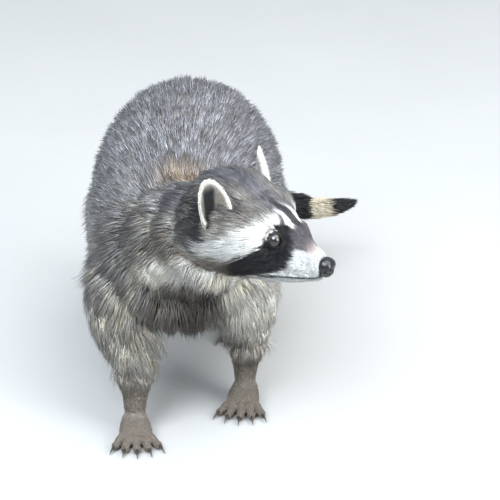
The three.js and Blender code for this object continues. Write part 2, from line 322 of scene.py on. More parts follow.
def mesh_of(name, points, *face_sets):
    """A mesh from points in millimetres and arrays of corner numbers, one array for each count of corners."""
    mesh = bpy.data.meshes.new(name)
    mesh.vertices.add(len(points))
    mesh.vertices.foreach_set("co", place(points).astype(np.float32).ravel())
    corners = np.concatenate([faces.ravel() for faces in face_sets]).astype(np.int32)
    sizes = np.concatenate([np.full(len(faces), faces.shape[1]) for faces in face_sets])
    mesh.loops.add(len(corners))
    mesh.loops.foreach_set("vertex_index", corners)
    mesh.polygons.add(len(sizes))
    mesh.polygons.foreach_set("loop_start", (np.cumsum(sizes) - sizes).astype(np.int32))
    mesh.polygons.foreach_set("use_smooth", np.ones(len(sizes), bool))
    mesh.update(calc_edges=True)
    return mesh


def packed(grid):
    """The values of a grid whose end rows are single points, as one list with those two at its end."""
    return np.vstack([grid[1:-1].reshape(-1, grid.shape[2]), grid[0, :1], grid[-1, :1]])


def triangles_of(quads, fans=()):
    """Quads and triangles, all as triangles."""
    return np.vstack([quads[:, [0, 1, 2]], quads[:, [0, 2, 3]], *([fans] if len(fans) else [])])


def ball_grid(rows, columns):
    """A ball's angles: down from its pole by row, and round it by column."""
    return np.meshgrid(np.linspace(0, np.pi, rows), np.arange(columns) / columns * 2 * np.pi, indexing="ij")


def closed(grid):
    """Points, quads and fan triangles of a grid whose columns wrap and whose end rows are single points.

    The faces are turned round where the signed volume, a sixth of the sum of a . (b x c), is negative.
    """
    rows, columns = grid.shape[:2]
    points = packed(grid)
    index = np.arange((rows - 2) * columns).reshape(rows - 2, columns)
    after = np.roll(index, -1, axis=1)
    quads = np.stack([index[:-1], after[:-1], after[1:], index[1:]], -1).reshape(-1, 4)
    first, last = (np.full(columns, len(points) - k) for k in (2, 1))
    fans = np.vstack([np.stack([first, after[0], index[0]], -1), np.stack([last, index[-1], after[-1]], -1)])
    middle = points.mean(0)
    a, b, c = (points[quads[:, k]] - middle for k in range(3))
    if np.sum(a * np.cross(b, c)) < 0:
        quads, fans = quads[:, ::-1], fans[:, ::-1]
    return points, quads, fans


def joined(bodies):
    """Several (points, quads, fans) as one."""
    starts = np.cumsum([0] + [len(points) for points, _, _ in bodies])
    return tuple(
        np.concatenate([part if kind == 0 else part + start for part, start in zip(parts, starts)])
        for kind, parts in enumerate(zip(*bodies))
    )


def show(name, mesh, material, nodes=()):
    """Puts a mesh into the scene as a finished piece that rides on the body and replaces `nodes`."""
    piece = bpy.data.objects.new(name, mesh)
    bpy.context.collection.objects.link(piece)
    mesh.materials.append(material)
    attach(piece, BODY)
    if nodes:
        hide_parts(*nodes)
    return piece


def stored_on(mesh, name, values):
    """Keeps one value, vector or colour for each point of a mesh."""
    kinds = {1: ("FLOAT", "value"), 3: ("FLOAT_VECTOR", "vector"), 4: ("FLOAT_COLOR", "color")}
    kind, field = kinds[values.shape[1]]
    mesh.attributes.new(name, kind, "POINT").data.foreach_set(field, values.astype(np.float32).ravel())


def opaque(colours):
    """Rows of red, green and blue with a full alpha."""
    return np.hstack([colours, np.ones((len(colours), 1))])


def remeshed(bodies, voxel):
    """Points and quads of one closed surface round overlapping bodies, drawn through cubes of side `voxel`."""
    source = bpy.data.objects.new("remesh", mesh_of("remesh", *joined(bodies)))
    bpy.context.collection.objects.link(source)
    fuse = source.modifiers.new("Fuse", "REMESH")
    fuse.mode = "VOXEL"
    fuse.voxel_size = voxel * MM
    result = source.evaluated_get(bpy.context.evaluated_depsgraph_get()).to_mesh()
    points, faces = arrays(result)
    bpy.data.meshes.remove(source.data)
    return points, faces


def arrays(mesh, corners=4):
    """Points in millimetres and faces of a mesh whose faces all have as many corners."""
    points = np.empty(len(mesh.vertices) * 3, np.float32)
    mesh.vertices.foreach_get("co", points)
    faces = np.empty(len(mesh.loops), np.int32)
    mesh.loops.foreach_get("vertex_index", faces)
    return points.reshape(-1, 3) / MM - SHIFT, faces.reshape(-1, corners)


def edges_of(faces):
    """The edges of triangles or quads, each as often as a face has it."""
    corners = faces.shape[1]
    return np.concatenate([faces[:, [k, (k + 1) % corners]] for k in range(corners)])


def gathered(edges, values, count):
    """For each point, the sum of its neighbours' values."""
    total = np.zeros((count, values.shape[1]))
    for axis in range(values.shape[1]):
        total[:, axis] = np.bincount(edges[:, 0], values[edges[:, 1], axis], count)
        total[:, axis] += np.bincount(edges[:, 1], values[edges[:, 0], axis], count)
    return total


def relaxed(points, edges, share, rounds):
    """Moves each point by `share` of the way to the mean of its neighbours, `rounds` times."""
    number = gathered(edges, np.ones((len(points), 1)), len(points))
    for _ in range(rounds):
        points = points + share * (gathered(edges, points, len(points)) / number - points)
    return points


def normals_of(points, triangles):
    """Each point's normal: the mean of its faces' normals, weighted by area."""
    a, b, c = (points[triangles[:, k]] for k in range(3))
    across = np.cross(b - a, c - a)
    total = [sum(np.bincount(triangles[:, k], row, len(points)) for k in range(3)) for row in across.T]
    return unit(np.stack(total, -1))


# ---------------------------------------------------------------------------
# Noise
# ---------------------------------------------------------------------------

TABLE = np.random.default_rng(7).random((4096, 4))


def chance(cells):
    """Four numbers from 0 to 1 for each row of whole numbers, always the same for the same row."""
    mixed = cells.astype(np.int64) @ np.array([73856093, 19349663, 83492791])
    return TABLE[(mixed ^ (mixed >> 13)) % len(TABLE)]


def noise(points, size):
    """Four smooth values from -1 to 1: chance at the corners of cubes of side `size`, blended between them."""
    scaled = points / size
    corner = np.floor(scaled)
    share = scaled - corner
    share = share * share * (3 - 2 * share)
    total = 0
    for offset in np.ndindex(2, 2, 2):
        weight = np.prod(np.where(offset, share, 1 - share), axis=1)
        total = total + chance(corner + offset) * weight[:, None]
    return total * 2 - 1


# ---------------------------------------------------------------------------
# The coat's plan: which part a point belongs to, and how the hair lies there
# ---------------------------------------------------------------------------

# Places along a loft's line that are tried for the nearest, and how many points are worked out at a time
SAMPLES = 40
CHUNK = 16000
# For each kind of part: does the hair lie along its line (1) or against it (-1), how much it also falls, its
# lift in degrees, the width of a lock and of a tuft in millimetres, and tufts to a square millimetre of skin
HABIT = {
    "trunk": (1, 0.45, 28, 6, 1.0, 0.48), "neck": (-1, 0.6, 31, 11, 1.0, 0.62),
    "head": (1, 0.25, 26, 7, 0.8, 1.1), "tail": (1, 0.1, 28, 7, 0.85, 1.1),
    "foreleg": (1, 0.35, 25, 10, 0.95, 0.62), "hindleg": (1, 0.35, 24, 9, 0.95, 0.52),
    "forepaw": (1, 0, 15, 2.5, 0.45, 1.5), "hindpaw": (1, 0, 15, 2.5, 0.45, 1.3),
}
HABITS = np.array([HABIT[name.split("_")[0]] for name in LOFTS], float)
# The last four of those near the tip of the nose, at the nape and at the wrists
TRAITS = ("lift", "lock", "width", "dense")
FACE_TRAITS = np.array([13, 2.5, 0.42, 3.3])
NAPE_TRAITS = np.array([27, 8, 0.85, 1.1])
WRIST_TRAITS = np.array([18, 2.5, 0.5, 1.7])
# How far parts blend into each other, in section sizes, and how many of those the body is set back at the feet
BLEND, FEET_BIAS = 0.1, 9


def nearness(loft, points):
    """How many section sizes each point is from a loft's line, and the line's direction, coat, share and the
    angle round it there."""
    share = np.linspace(0, 1, SAMPLES)
    centre, side, above, along, size, coat = loft.sections(share)
    centre = centre @ loft.turn.T + loft.at
    side, above, along = side @ loft.turn.T, above @ loft.turn.T, along @ loft.turn.T
    offset = points[:, None] - centre
    across = np.einsum("nmk,mk->nm", offset, side) / size[:, 0]
    up = np.einsum("nmk,mk->nm", offset, above)
    up = up / np.where(up > 0, size[:, 1], size[:, 2])
    ahead = np.einsum("nmk,mk->nm", offset, along) / size.mean(1)
    far = np.sqrt(across**2 + up**2 + ahead**2)
    best = far.argmin(1)
    row = np.arange(len(points))
    return far[row, best], along[best], coat[best], share[best], np.arctan2(up[row, best], across[row, best])


def plan(points, normals):
    """The coat at each point: its part, lie, depth, lift, lock width, and the point's place on an unwrap."""
    pieces = [plan_chunk(points[i:i + CHUNK], normals[i:i + CHUNK]) for i in range(0, len(points), CHUNK)]
    return {key: np.concatenate([piece[key] for piece in pieces]) for key in pieces[0]}


def plan_chunk(points, normals):
    """`plan` for a few points. Parts blend where they meet, as exp(-(distance beyond the nearest) / BLEND).

    Hair on the face is shorter, flatter and finer towards the nose, and parts round the eyes. On the feet only
    the paws count.
    """
    found = [nearness(loft, points) for loft in LOFTS.values()]
    far = np.stack([f[0] for f in found], 1)
    far += FEET_BIAS * ramp(24, 14, points[:, 2])[:, None] * np.array([name not in PAWS for name in LOFTS])
    part = far.argmin(1)
    weight = np.exp(-(far - far.min(1, keepdims=True)) / BLEND)
    weight /= weight.sum(1, keepdims=True)
    local, head = body_to_head(points), weight[:, PART["head"]]
    on_head = head > 0.5
    e, away, offset = opening(local)[:3]
    parting = ramp(2.7, 1.4, e) * on_head
    wrist = ramp(80, 36, points[:, 2]) * (weight @ IS_LEG)
    seat = ramp(19, 11, np.linalg.norm(local * facing(local) - EAR_SEAT, axis=1)) * on_head

    # the lie: along the part and down, down the chest, and away from the eyes
    lie = sum(weight[:, k:k + 1] * HABITS[k, 0] * f[1] for k, f in enumerate(found))
    chest = ramp(-70, -120, points[:, 1]) * (part == PART["trunk"])
    lie = lie + (weight @ HABITS[:, 1] + 0.8 * chest)[:, None] * np.array([0, 0, -1.0])
    lie = unit(lie) + 1.3 * parting[:, None] * (away @ HEAD_TURN.T)
    lie = unit(lie - normals * dot(lie, normals))

    depth = sum(weight[:, k] * f[2] for k, f in enumerate(found))
    depth = depth * mix(1, 0.4, wrist) * mix(1, 0.2, parting) * mix(1, 0.4, seat)
    back = ramp(-66, -14, local[:, 1])[:, None]
    traits = mix(weight @ HABITS[:, 2:], mix(FACE_TRAITS, NAPE_TRAITS, back), head[:, None])
    traits = mix(traits, WRIST_TRAITS, wrist[:, None])
    bare = bare_skin(local, points, normals, e, offset[:, 1]) * np.where(on_head, 1, points[:, 2] < 12)
    traits[:, 3] *= ramp(0.75, 0.35, bare) * mix(1, 1.4, parting)

    row = np.arange(len(points))
    share, angle = (np.stack([f[k] for f in found], 1)[row, part] for k in (3, 4))
    unwrap = np.stack([angle / (2 * np.pi) + 0.5, share], -1)
    return {**dict(zip(TRAITS, traits.T)), "part": part, "lie": lie, "depth": depth, "weight": weight,
            "bare": bare, "unwrap": unwrap}


def opening(points):
    """How far points of the head's frame are from the middle of an eye's opening, in opening widths.

    e is the length of (u / half length, v / half height), with u along the eye, v up it, and the ends pinched
    to points. Behind the eye e is 9. Also the direction away from the eye, each point's offset and distance
    from it, v, and the signs that turned the point over to the left.
    """
    sign = facing(points)
    offset = points * sign - EYE_AT
    far = np.linalg.norm(offset, axis=1)
    gaze = unit(np.array(GAZE))
    ahead = unit(np.array(EYE_LINE) - gaze * np.dot(gaze, EYE_LINE))
    up = np.cross(gaze, ahead)
    up = up * np.sign(up[2])
    u, v, depth = (offset @ axis / np.maximum(far, 1e-6) * EYE_RADIUS for axis in (ahead, up, gaze))
    pinch = np.clip(1 - 0.4 * np.abs(u / EYE_HALF[0]) ** 1.6, 0.35, 1)
    e = np.hypot(u / EYE_HALF[0], v / (np.where(v > 0, EYE_HALF[1], EYE_HALF[2]) * pinch))
    e = np.where(depth > 0, e, 9) + ramp(16, 26, far) * 9
    away = offset - gaze * (offset @ gaze)[:, None]
    return e, unit(away) * sign, offset, far, v, sign


def bare_skin(local, points, normals, e, behind):
    """How bare the skin is, from 0 to 1: lids, lips, the seat of the nose and the soles."""
    y, z = local[:, 1], local[:, 2]
    lids = ramp(1.35, 1.18, e) * ramp(6.2, 4.4, behind)
    lips = bell(z - mouth_line(y), 0.9) * ramp(-36, -42, y)
    seat = ramp(-103.5, -105.5, y) * ramp(-49, -46.5, z)
    soles = ramp(-0.5, -0.8, normals[:, 2]) * ramp(6, 3, points[:, 2])
    return np.max([lids, lips, seat, soles], axis=0)


# ---------------------------------------------------------------------------
# Markings
# ---------------------------------------------------------------------------

def tone(red, green, blue):
    """A colour, as linear shares of light."""
    return np.array([red, green, blue])


BLACK = tone(0.018, 0.018, 0.02)
CHARCOAL = tone(0.04, 0.038, 0.04)
BACK = tone(0.32, 0.32, 0.352)
FLANK = tone(0.375, 0.388, 0.395)
SHOULDER = tone(0.19, 0.184, 0.182)
STREAK = tone(0.56, 0.53, 0.46)
PALE = tone(0.41, 0.405, 0.375)
CREAM = tone(0.62, 0.56, 0.45)
WHITE = tone(0.88, 0.875, 0.85)
MUZZLE = tone(0.61, 0.62, 0.615)
RUST = tone(0.33, 0.195, 0.06)
BROWN = tone(0.12, 0.098, 0.08)
SKIN_DARK = tone(0.013, 0.012, 0.012)
PAW_COAT = tone(0.22, 0.19, 0.16)

# Lines of the face, in the head's frame, as (y, z) seen from the side; the mask's front is (z, y)
MASK_TOP = [
    (-20, -52), (-30, -40), (-38, -32), (-45, -27), (-50, -20), (-55, -13.5), (-60, -7), (-66, -3), (-71, -3),
    (-76, -8),
]
MASK_FLOOR = [(-20, -66), (-28, -63), (-39, -59), (-56, -51.5), (-67, -46.5), (-75, -42.5)]
MASK_FRONT = [(-60, -65), (-42, -74.5), (-32, -78), (-20, -77.5), (-8, -74)]
BROW_TOP = [
    (-74, 0), (-66, 3), (-59, 4), (-52, 2), (-42, -2.5), (-32, -8), (-17, -18), (-4, -24), (6, -28), (20, -32),
]
BROW_FLOOR = [(-40, -31), (-29, -35), (-15, -39.5), (0, -44), (20, -52)]
MOUTH_UP, MOUTH_SLOPE = -67.0, -0.19
# Lines of the neck, in the animal's frame: the pale sash from behind the right cheek down to the chest, the
# dark streak of painted shade below it, and the dark band behind the cheek. The first two have a mirrored pair.
SASH = [(30, -232, 224), (20, -222, 216), (6, -203, 206), (-9, -188, 192), (-24, -170, 177), (-38, -150, 163)]
SASH_SHADE = [(32, -197, 190), (15, -184, 176), (-2, -155, 150), (-20, -143, 127), (-36, -127, 106)]
CHEEK_BAND = [(24, -214, 284), (28, -226, 264), (25, -224, 243), (14, -206, 224)]
CHEST_MIDDLE = [12, 0, 0]
# The tail's line and the distance along it at each of its places, then where a ring starts, how long a pale
# and a dark ring are together, and where the dark tip starts
TAIL_LINE = spline(np.array(TAIL, float)[:, :3], np.linspace(0, 1, 200))
TAIL_RUN = np.concatenate([[0], np.cumsum(np.linalg.norm(np.diff(TAIL_LINE, axis=0), axis=1))])
RING_START, RING_PITCH, TAIL_TIP = 166, 52, (250, 232)


def mouth_line(y):
    """The height of the line between the lips at each place along the head."""
    return MOUTH_UP + MOUTH_SLOPE * y


def layered(colour, differ, layers):
    """A colour for each point, and how far its hairs differ, under layers of (colour, share, difference)."""
    differ = np.full(len(colour), differ)
    for new, share, spread in layers:
        share = np.clip(share, 0, 1)
        colour = mix(colour, new, share[:, None])
        differ = mix(differ, spread, share)
    return colour, differ


def head_markings(points):
    """The face's colour at points of the head's frame, and how far its hairs differ from each other."""
    side, y, z = np.abs(points[:, 0]), points[:, 1], points[:, 2]
    ragged, speck = noise(points, 7.0), noise(points, 3.2)[:, 1]
    wave = ragged[:, 0] * 1.2
    mask_top, mask_floor, mask_front = level(MASK_TOP, y), level(MASK_FLOOR, y), level(MASK_FRONT, z)
    brow_top, brow_floor = level(BROW_TOP, y), level(BROW_FLOOR, y)
    muzzle_top = mix(-22, -25, ramp(-83, -95, y))
    e, _, offset = opening(points)[:3]

    brow = ramp(-3.5, 2.5, brow_top + 2.2 + wave - z)
    brow *= ramp(-1.5, 1.5, z - np.where(y < -42, mask_top, brow_floor))
    brow *= ramp(-73, -67, y) * ramp(28, 8, y) * ramp(16, 18.5, side + 0.3 * (y + 66))
    stripe = ramp(3.2, 2.2, np.abs(side - 8.6 + 0.4 * wave)) * ramp(-75, -71, y) * ramp(-42, -56, y)
    wedge = ramp(3.4, 2.4, np.abs(side - 14.2)) * ramp(-76, -72, y) * ramp(-58, -66, y)
    below_cheek = ramp(-44, -20, y) * ramp(1, -3, z - np.where(y < -40, mask_floor, brow_floor))
    behind_cheek = ramp(-3, 5, y - mix(-2, 14, ramp(-22, -42, z)) + 3 * ragged[:, 2]) * ramp(22, 8, z)
    behind_cheek *= ramp(-54, -42, z) * mix(0.7, 1, ramp(27, 17, y)) * mix(0.3, 1, ramp(24, 42, side))
    mask = ramp(-1.2, 1.2, mask_top + 0.6 * wave - z) * ramp(-1.0, 1.0, z - mask_floor - 0.3 * wave)
    mask *= ramp(-1.2, 1.2, y - mask_front - 0.4 * wave) * ramp(-18, -28, y) * ramp(8, 13, side)
    lips = bell(z - mouth_line(y), mix(2.0, 1.0, ramp(-56, -72, y))) * ramp(-38, -42, y)

    crown = mix(tone(0.12, 0.12, 0.135), tone(0.195, 0.187, 0.18), ramp(6, 30, side)[:, None])
    return layered(crown, 0.8, [
        # the grizzled crown is pale above the brow, with brown specks and a dark spot in front of each ear
        (PALE, 0.7 * ramp(-58, -48, y) * ramp(12, 2, z - brow_top) * ramp(10, 20, side), 0.6),
        (BROWN, 0.8 * ramp(0.1, 0.6, speck) * ramp(-62, -48, y) * ramp(10, 20, side), 0.6),
        (CHARCOAL, bell(side - 36, 7) * bell(y + 19, 6) * bell(z - 15, 8), 0.3),
        # the bridge of the muzzle, buff towards the nose
        (tone(0.1, 0.09, 0.1), ramp(-66, -73, y), 0.3),
        (tone(0.5, 0.44, 0.42), ramp(-84, -97, y), 0.3),
        # the white brow, running back over the cheek, and a pale tuft under the ear
        (WHITE * mix(1, 0.7, ramp(-50, -24, y))[:, None], brow * mix(1, 0.9, ramp(-30, 0, y)), 0.1),
        (mix(CREAM, WHITE, 0.3), 1.1 * bell(side - 59, 12) * bell(y + 2, 11) * bell(z + 9, 8), 0.3),
        # the two stripes, the dark middle line between them and the dark wedges outside them
        (CHARCOAL, 0.85 * ramp(5.5, 3, side) * ramp(-86, -74, y) * ramp(-20, -46, y), 0.2),
        (WHITE, stripe, 0.05),
        (CHARCOAL, 0.85 * wedge, 0.2),
        # the white sides of the muzzle, the lower lip and the chin
        (MUZZLE, ramp(-71, -80, y - 0.35 * (z + 40)) * ramp(muzzle_top + 2.5, muzzle_top - 1.5, z), 0.1),
        (MUZZLE * 0.85, ramp(-30, -40, y) * ramp(2, -1, z - mask_floor), 0.15),
        # brown below the cheek, and black behind it
        (mix(PALE, BROWN, np.clip(0.75 + 0.6 * ragged[:, 1:2], 0, 1)), below_cheek, 0.6),
        (BLACK * 1.4, 0.96 * behind_cheek, 0.15),
        # the mask, the rims of the eyes and the lips
        (BLACK, mask, 0.1),
        (BLACK, ramp(1.7, 1.5, e) * ramp(4.5, 2, offset[:, 1]), 0.1),
        (BLACK, lips, 0.05),
    ])


def from_line(points, line):
    """How far each point is from a smooth line: the least of its distances from 60 places along it."""
    places = spline(np.array(line, float), np.linspace(0, 1, 60))
    return np.sqrt(((points[:, None] - places) ** 2).sum(2).min(1))


def patch(points, centre, radius, squash=(1, 1, 1), waver=0):
    """A soft round patch: the bell of the distance from its centre, with each axis scaled by `squash`."""
    return bell(np.linalg.norm((points - centre) * squash, axis=1) + waver, radius)


def tail_distance(points):
    """How far along the tail's line each point is, in millimetres from its root."""
    return TAIL_RUN[np.linalg.norm(points[:, None] - TAIL_LINE, axis=2).argmin(1)]


def body_markings(points, normals, weight):
    """The colour of the trunk, neck, tail and legs, and how far neighbouring hairs differ."""
    x, y, z = points.T
    ragged, fine = noise(points, 24.0), noise(points, 6.0)
    streak = noise(points * [1.0, 0.6, 0.6], 9.0)
    streaks = ramp(-0.25, 0.55, streak[:, :1])
    trunk, tail = weight[:, PART["trunk"]], weight[:, PART["tail"]]
    legs, paws = weight @ IS_LEG, sum(weight[:, PART[name]] for name in PAWS)
    top = ramp(-0.1, 0.7, normals[:, 2] + 0.2 * ragged[:, 0])

    fore = weight[:, PART["neck"]] + weight[:, PART["foreleg_left"]] + weight[:, PART["foreleg_right"]]
    fore = np.clip(fore + ramp(0, -90, y) * trunk * (1 - 0.75 * top), 0, 1)
    pale_legs = ramp(150, 95, z) * ramp(0.15, 0.6, streak[:, 1] + 0.7) * legs
    # the chest between the forelegs: dark brown, with painted shade under the body laid over it
    chest_dark_and_shade = ramp(0.2, 0.8, bell(x - 14, 42) * bell(y + 165, 62) * ramp(196, 168, z))
    band = bell(np.maximum(from_line(points, CHEEK_BAND) + 2 * ragged[:, 0] - 3, 0), 8)
    sashes = []
    for side in (1, -1):
        line, shade = ((np.array(places) - CHEST_MIDDLE) * [side, 1, 1] + CHEST_MIDDLE
                       for places in (SASH, SASH_SHADE))
        far = np.maximum(from_line(points, line) + 4 * ragged[:, 2] - 8, 0)
        sashes += [
            # painted shade below the sash
            (mix(BROWN * 0.8, SHOULDER, 0.5 * streaks), 0.95 * bell(from_line(points, shade), 15), 0.9),
            (mix(STREAK * 1.35, WHITE, streaks), 1.3 * bell(far, 10), 0.3),
        ]
    run = np.zeros(len(points))
    run[tail > 0.3] = tail_distance(points[tail > 0.3])
    cream = ramp(-0.12, 0.12, np.sin((run + 3 * ragged[:, 2] - RING_START) / RING_PITCH * 2 * np.pi) - 0.12)
    ring = mix(tone(0.018, 0.018, 0.02), CREAM, (cream * ramp(*TAIL_TIP, run))[:, None])

    return layered(mix(FLANK, BACK, top[:, None]), 1.0, [
        # darker flecks in the saddle, then the streaked shoulders, neck and forelegs
        (BROWN, 0.35 * ramp(0.1, 0.7, fine[:, 0] + 0.3 * ragged[:, 1]) * trunk, 1.0),
        (mix(SHOULDER, STREAK, 0.55 * streaks), fore * (1 - 0.7 * top * ramp(225, 245, z)), 0.9),
        # pale outer legs and a pale left arm, lightened further as painted light, brown low down, and the pale
        # belly
        (mix(PALE, STREAK, streaks), pale_legs * 0.8, 0.8),
        # the pale left arm, paler still as painted light falling on it
        (mix(STREAK * 1.4, WHITE, 0.4),
         patch(points, [78, -96, 118], 34, [1, 0.8, 0.75]) * (0.9 + 0.3 * streaks[:, 0]), 0.6),
        (PAW_COAT, legs * ramp(80, 34, z) * 0.9, 0.5),
        (PALE, ramp(-0.35, -0.8, normals[:, 2]) * trunk * ramp(-60, -20, y) * 0.7, 0.6),
        # the dark brown chest between the legs, darkened further as painted shade under the body, and the
        # sashes over it
        (mix(BROWN, CHARCOAL, 0.6) * 0.62, chest_dark_and_shade, 0.7),
        *sashes,
        # the nape, the band behind the cheek, and the dark side of the neck and shoulder
        (CHARCOAL, 0.3 * patch(points, [6, -192, 268], 34) * top, 0.6),
        (BLACK, band * mix(0.6, 1, ramp(276, 256, z)), 0.2),
        (BROWN * 0.55, 0.85 * patch(points, [-16, -186, 228], 26), 0.8),
        (SHOULDER * 0.6, 0.8 * patch(points, [-62, -122, 216], 34), 0.9),
        # the paler right side of the withers, and the rust patch between the shoulders
        (PALE * 1.2, 0.5 * patch(points, [-42, -58, 246], 26) * streaks[:, 0], 0.8),
        (RUST, patch(points, [2, -68, 250], 20, [0.95, 1.1, 0.4], 6 * ragged[:, 1])
         * (0.7 + 0.5 * streaks[:, 0]), 0.7),
        # the rings of the tail, and the paws
        (ring, ramp(0.3, 0.7, tail), 0.35),
        (PAW_COAT, paws, 0.4),
    ])


def markings(points, normals, weight):
    """The coat's colour at each point, and how far neighbouring hairs differ there."""
    colour, differ = body_markings(points, normals, weight)
    face, face_differ = head_markings(body_to_head(points))
    share = ramp(0.35, 0.75, weight[:, PART["head"]])
    return mix(colour, face, share[:, None]), mix(differ, face_differ, share)


# ---------------------------------------------------------------------------
# Skin
# ---------------------------------------------------------------------------

# Sides of the cubes that the body and the paws are fused through, and the cuts that make the face finer
BODY_VOXEL, PAW_VOXEL = 3.0, 1.75
FACE_CUTS, FEATURE_CUTS = 1, 3
# How far from an eye's middle and from the line between the lips the finest faces reach
EYE_REACH, LIP_REACH = 13, 3
# Rounds of easing of the body's creases, the lie of the hair and the wrists
EASE_ROUNDS, LIE_ROUNDS, WRIST_ROUNDS = 55, 24, 40
# The height up to which a paw's own hair grows, how much its shin stands outside the leg, and its two domes
SHIN_TOP = 66
SHIN_GROWTH = np.array([0, 0, 0, 0.4, 0.4, 0.4, 0])
SHIN_DOMES = (22, 8)
# The height of the soles
FLOOR_GAP = 0.35


def socketed(points):
    """The face's skin with its eyelids: points of the head's frame, moved along their lines from each eye.

    Inside e = 1 the skin sinks behind the eyeball, at e = 1 it steps up to the lid's edge, and by e = 2.2 it
    is where it was. Shallow bells of e make the crease of the upper lid and the fold of the lower.
    """
    e, _, offset, far, v, sign = opening(points)
    lid, outer = ramp(1.0, 1.1, e), ramp(1.2, 2.2, e)
    crease = 0.6 * bell(e - 1.5, 0.13) * ramp(0.5, 2.5, v) + 0.35 * bell(e - 1.42, 0.1) * ramp(-0.5, -2.5, v)
    edge = EYE_RADIUS + 0.75
    target = mix(EYE_RADIUS - 2.2, mix(edge, far, outer) - crease, lid)
    near = (e < 2.3)[:, None]
    moved = EYE_AT + offset * (target / np.maximum(far, 1e-6))[:, None]
    return np.where(near, moved * sign, points)


def lipped(points, normals):
    """The face's skin with a groove between the lips, a fuller upper lip and a furrow under the nose."""
    side, y, z = np.abs(points[:, 0]), points[:, 1], points[:, 2]
    above = z - mouth_line(y)
    along = ramp(-36, -44, y) * ramp(-108, -103, y)
    depth = -1.4 * bell(above, 0.8) + 0.9 * bell(above - 3.2, 2.4) + 0.5 * bell(above + 2.6, 1.8)
    philtrum = -0.9 * bell(side, 0.8) * ramp(-101, -104, y) * ramp(-1, 2, above)
    return points + normals * (depth * along + philtrum)[:, None]


def ear_turn(sign):
    """The rotation of an ear in the head's frame."""
    return turned("Z", sign * EAR["turn"]) @ turned("Y", sign * EAR["splay"])


def ear_leaf(sign):
    """One ear as a cupped leaf: a flattened ball, wide low down, whose edges curl forward.

    With across, high and deep the ball's own coordinates, x = across * width * (1 - 0.16 high), z = high *
    half length, and y = deep * thickness - cup * (x / width)^2 * (1 - 0.35 z / half length).
    """
    down, around = ball_grid(44, 40)
    across, deep, high = np.sin(down) * np.cos(around), np.sin(down) * np.sin(around), np.cos(down)
    x = across * (EAR["width"] - EAR["inset"]) * (1 - 0.16 * high)
    z = high * (EAR["half"] - EAR["inset"])
    y = deep * EAR["thick"] - EAR["cup"] * (x / EAR["width"]) ** 2 * (1 - 0.35 * z / EAR["half"])
    leaf = np.stack([x, y, z], -1) @ ear_turn(sign).T + [sign * EAR["side"], -EAR["ahead"], EAR["up"]]
    points, quads, fans = closed(head_to_body(leaf))
    return points, triangles_of(quads, fans), packed(np.stack([across, high, deep], -1))


def ear_rim(local):
    """How near the edge of the ear its own coordinates are: the root of across^2 + high^2."""
    return np.sqrt(np.clip(local[:, 0] ** 2 + local[:, 1] ** 2, 0, 1))


def ear_colours(local):
    """The ear's colour from its own coordinates: a pale rim, a dark hollow in front with buff beside it, and a
    grey back."""
    across, high, deep = local.T
    rim = ear_rim(local)
    hollow = ramp(0.5, 0.3, np.abs(across + 0.18 - 0.25 * high))
    hollow *= ramp(0.8, 0.5, high) * ramp(-1.0, -0.9, high)
    front = mix(mix(CREAM, PALE, 0.5) * 0.42, BLACK, hollow[:, None])
    back = mix(tone(0.26, 0.25, 0.24), WHITE, ramp(0.5, 0.85, rim)[:, None])
    edge = ramp(0.74, 0.93, rim) * ramp(-0.8, -0.45, high)
    return mix(mix(back, front, ramp(0.1, -0.1, deep)[:, None]), mix(WHITE, CREAM, 0.3) * 0.85, edge[:, None])


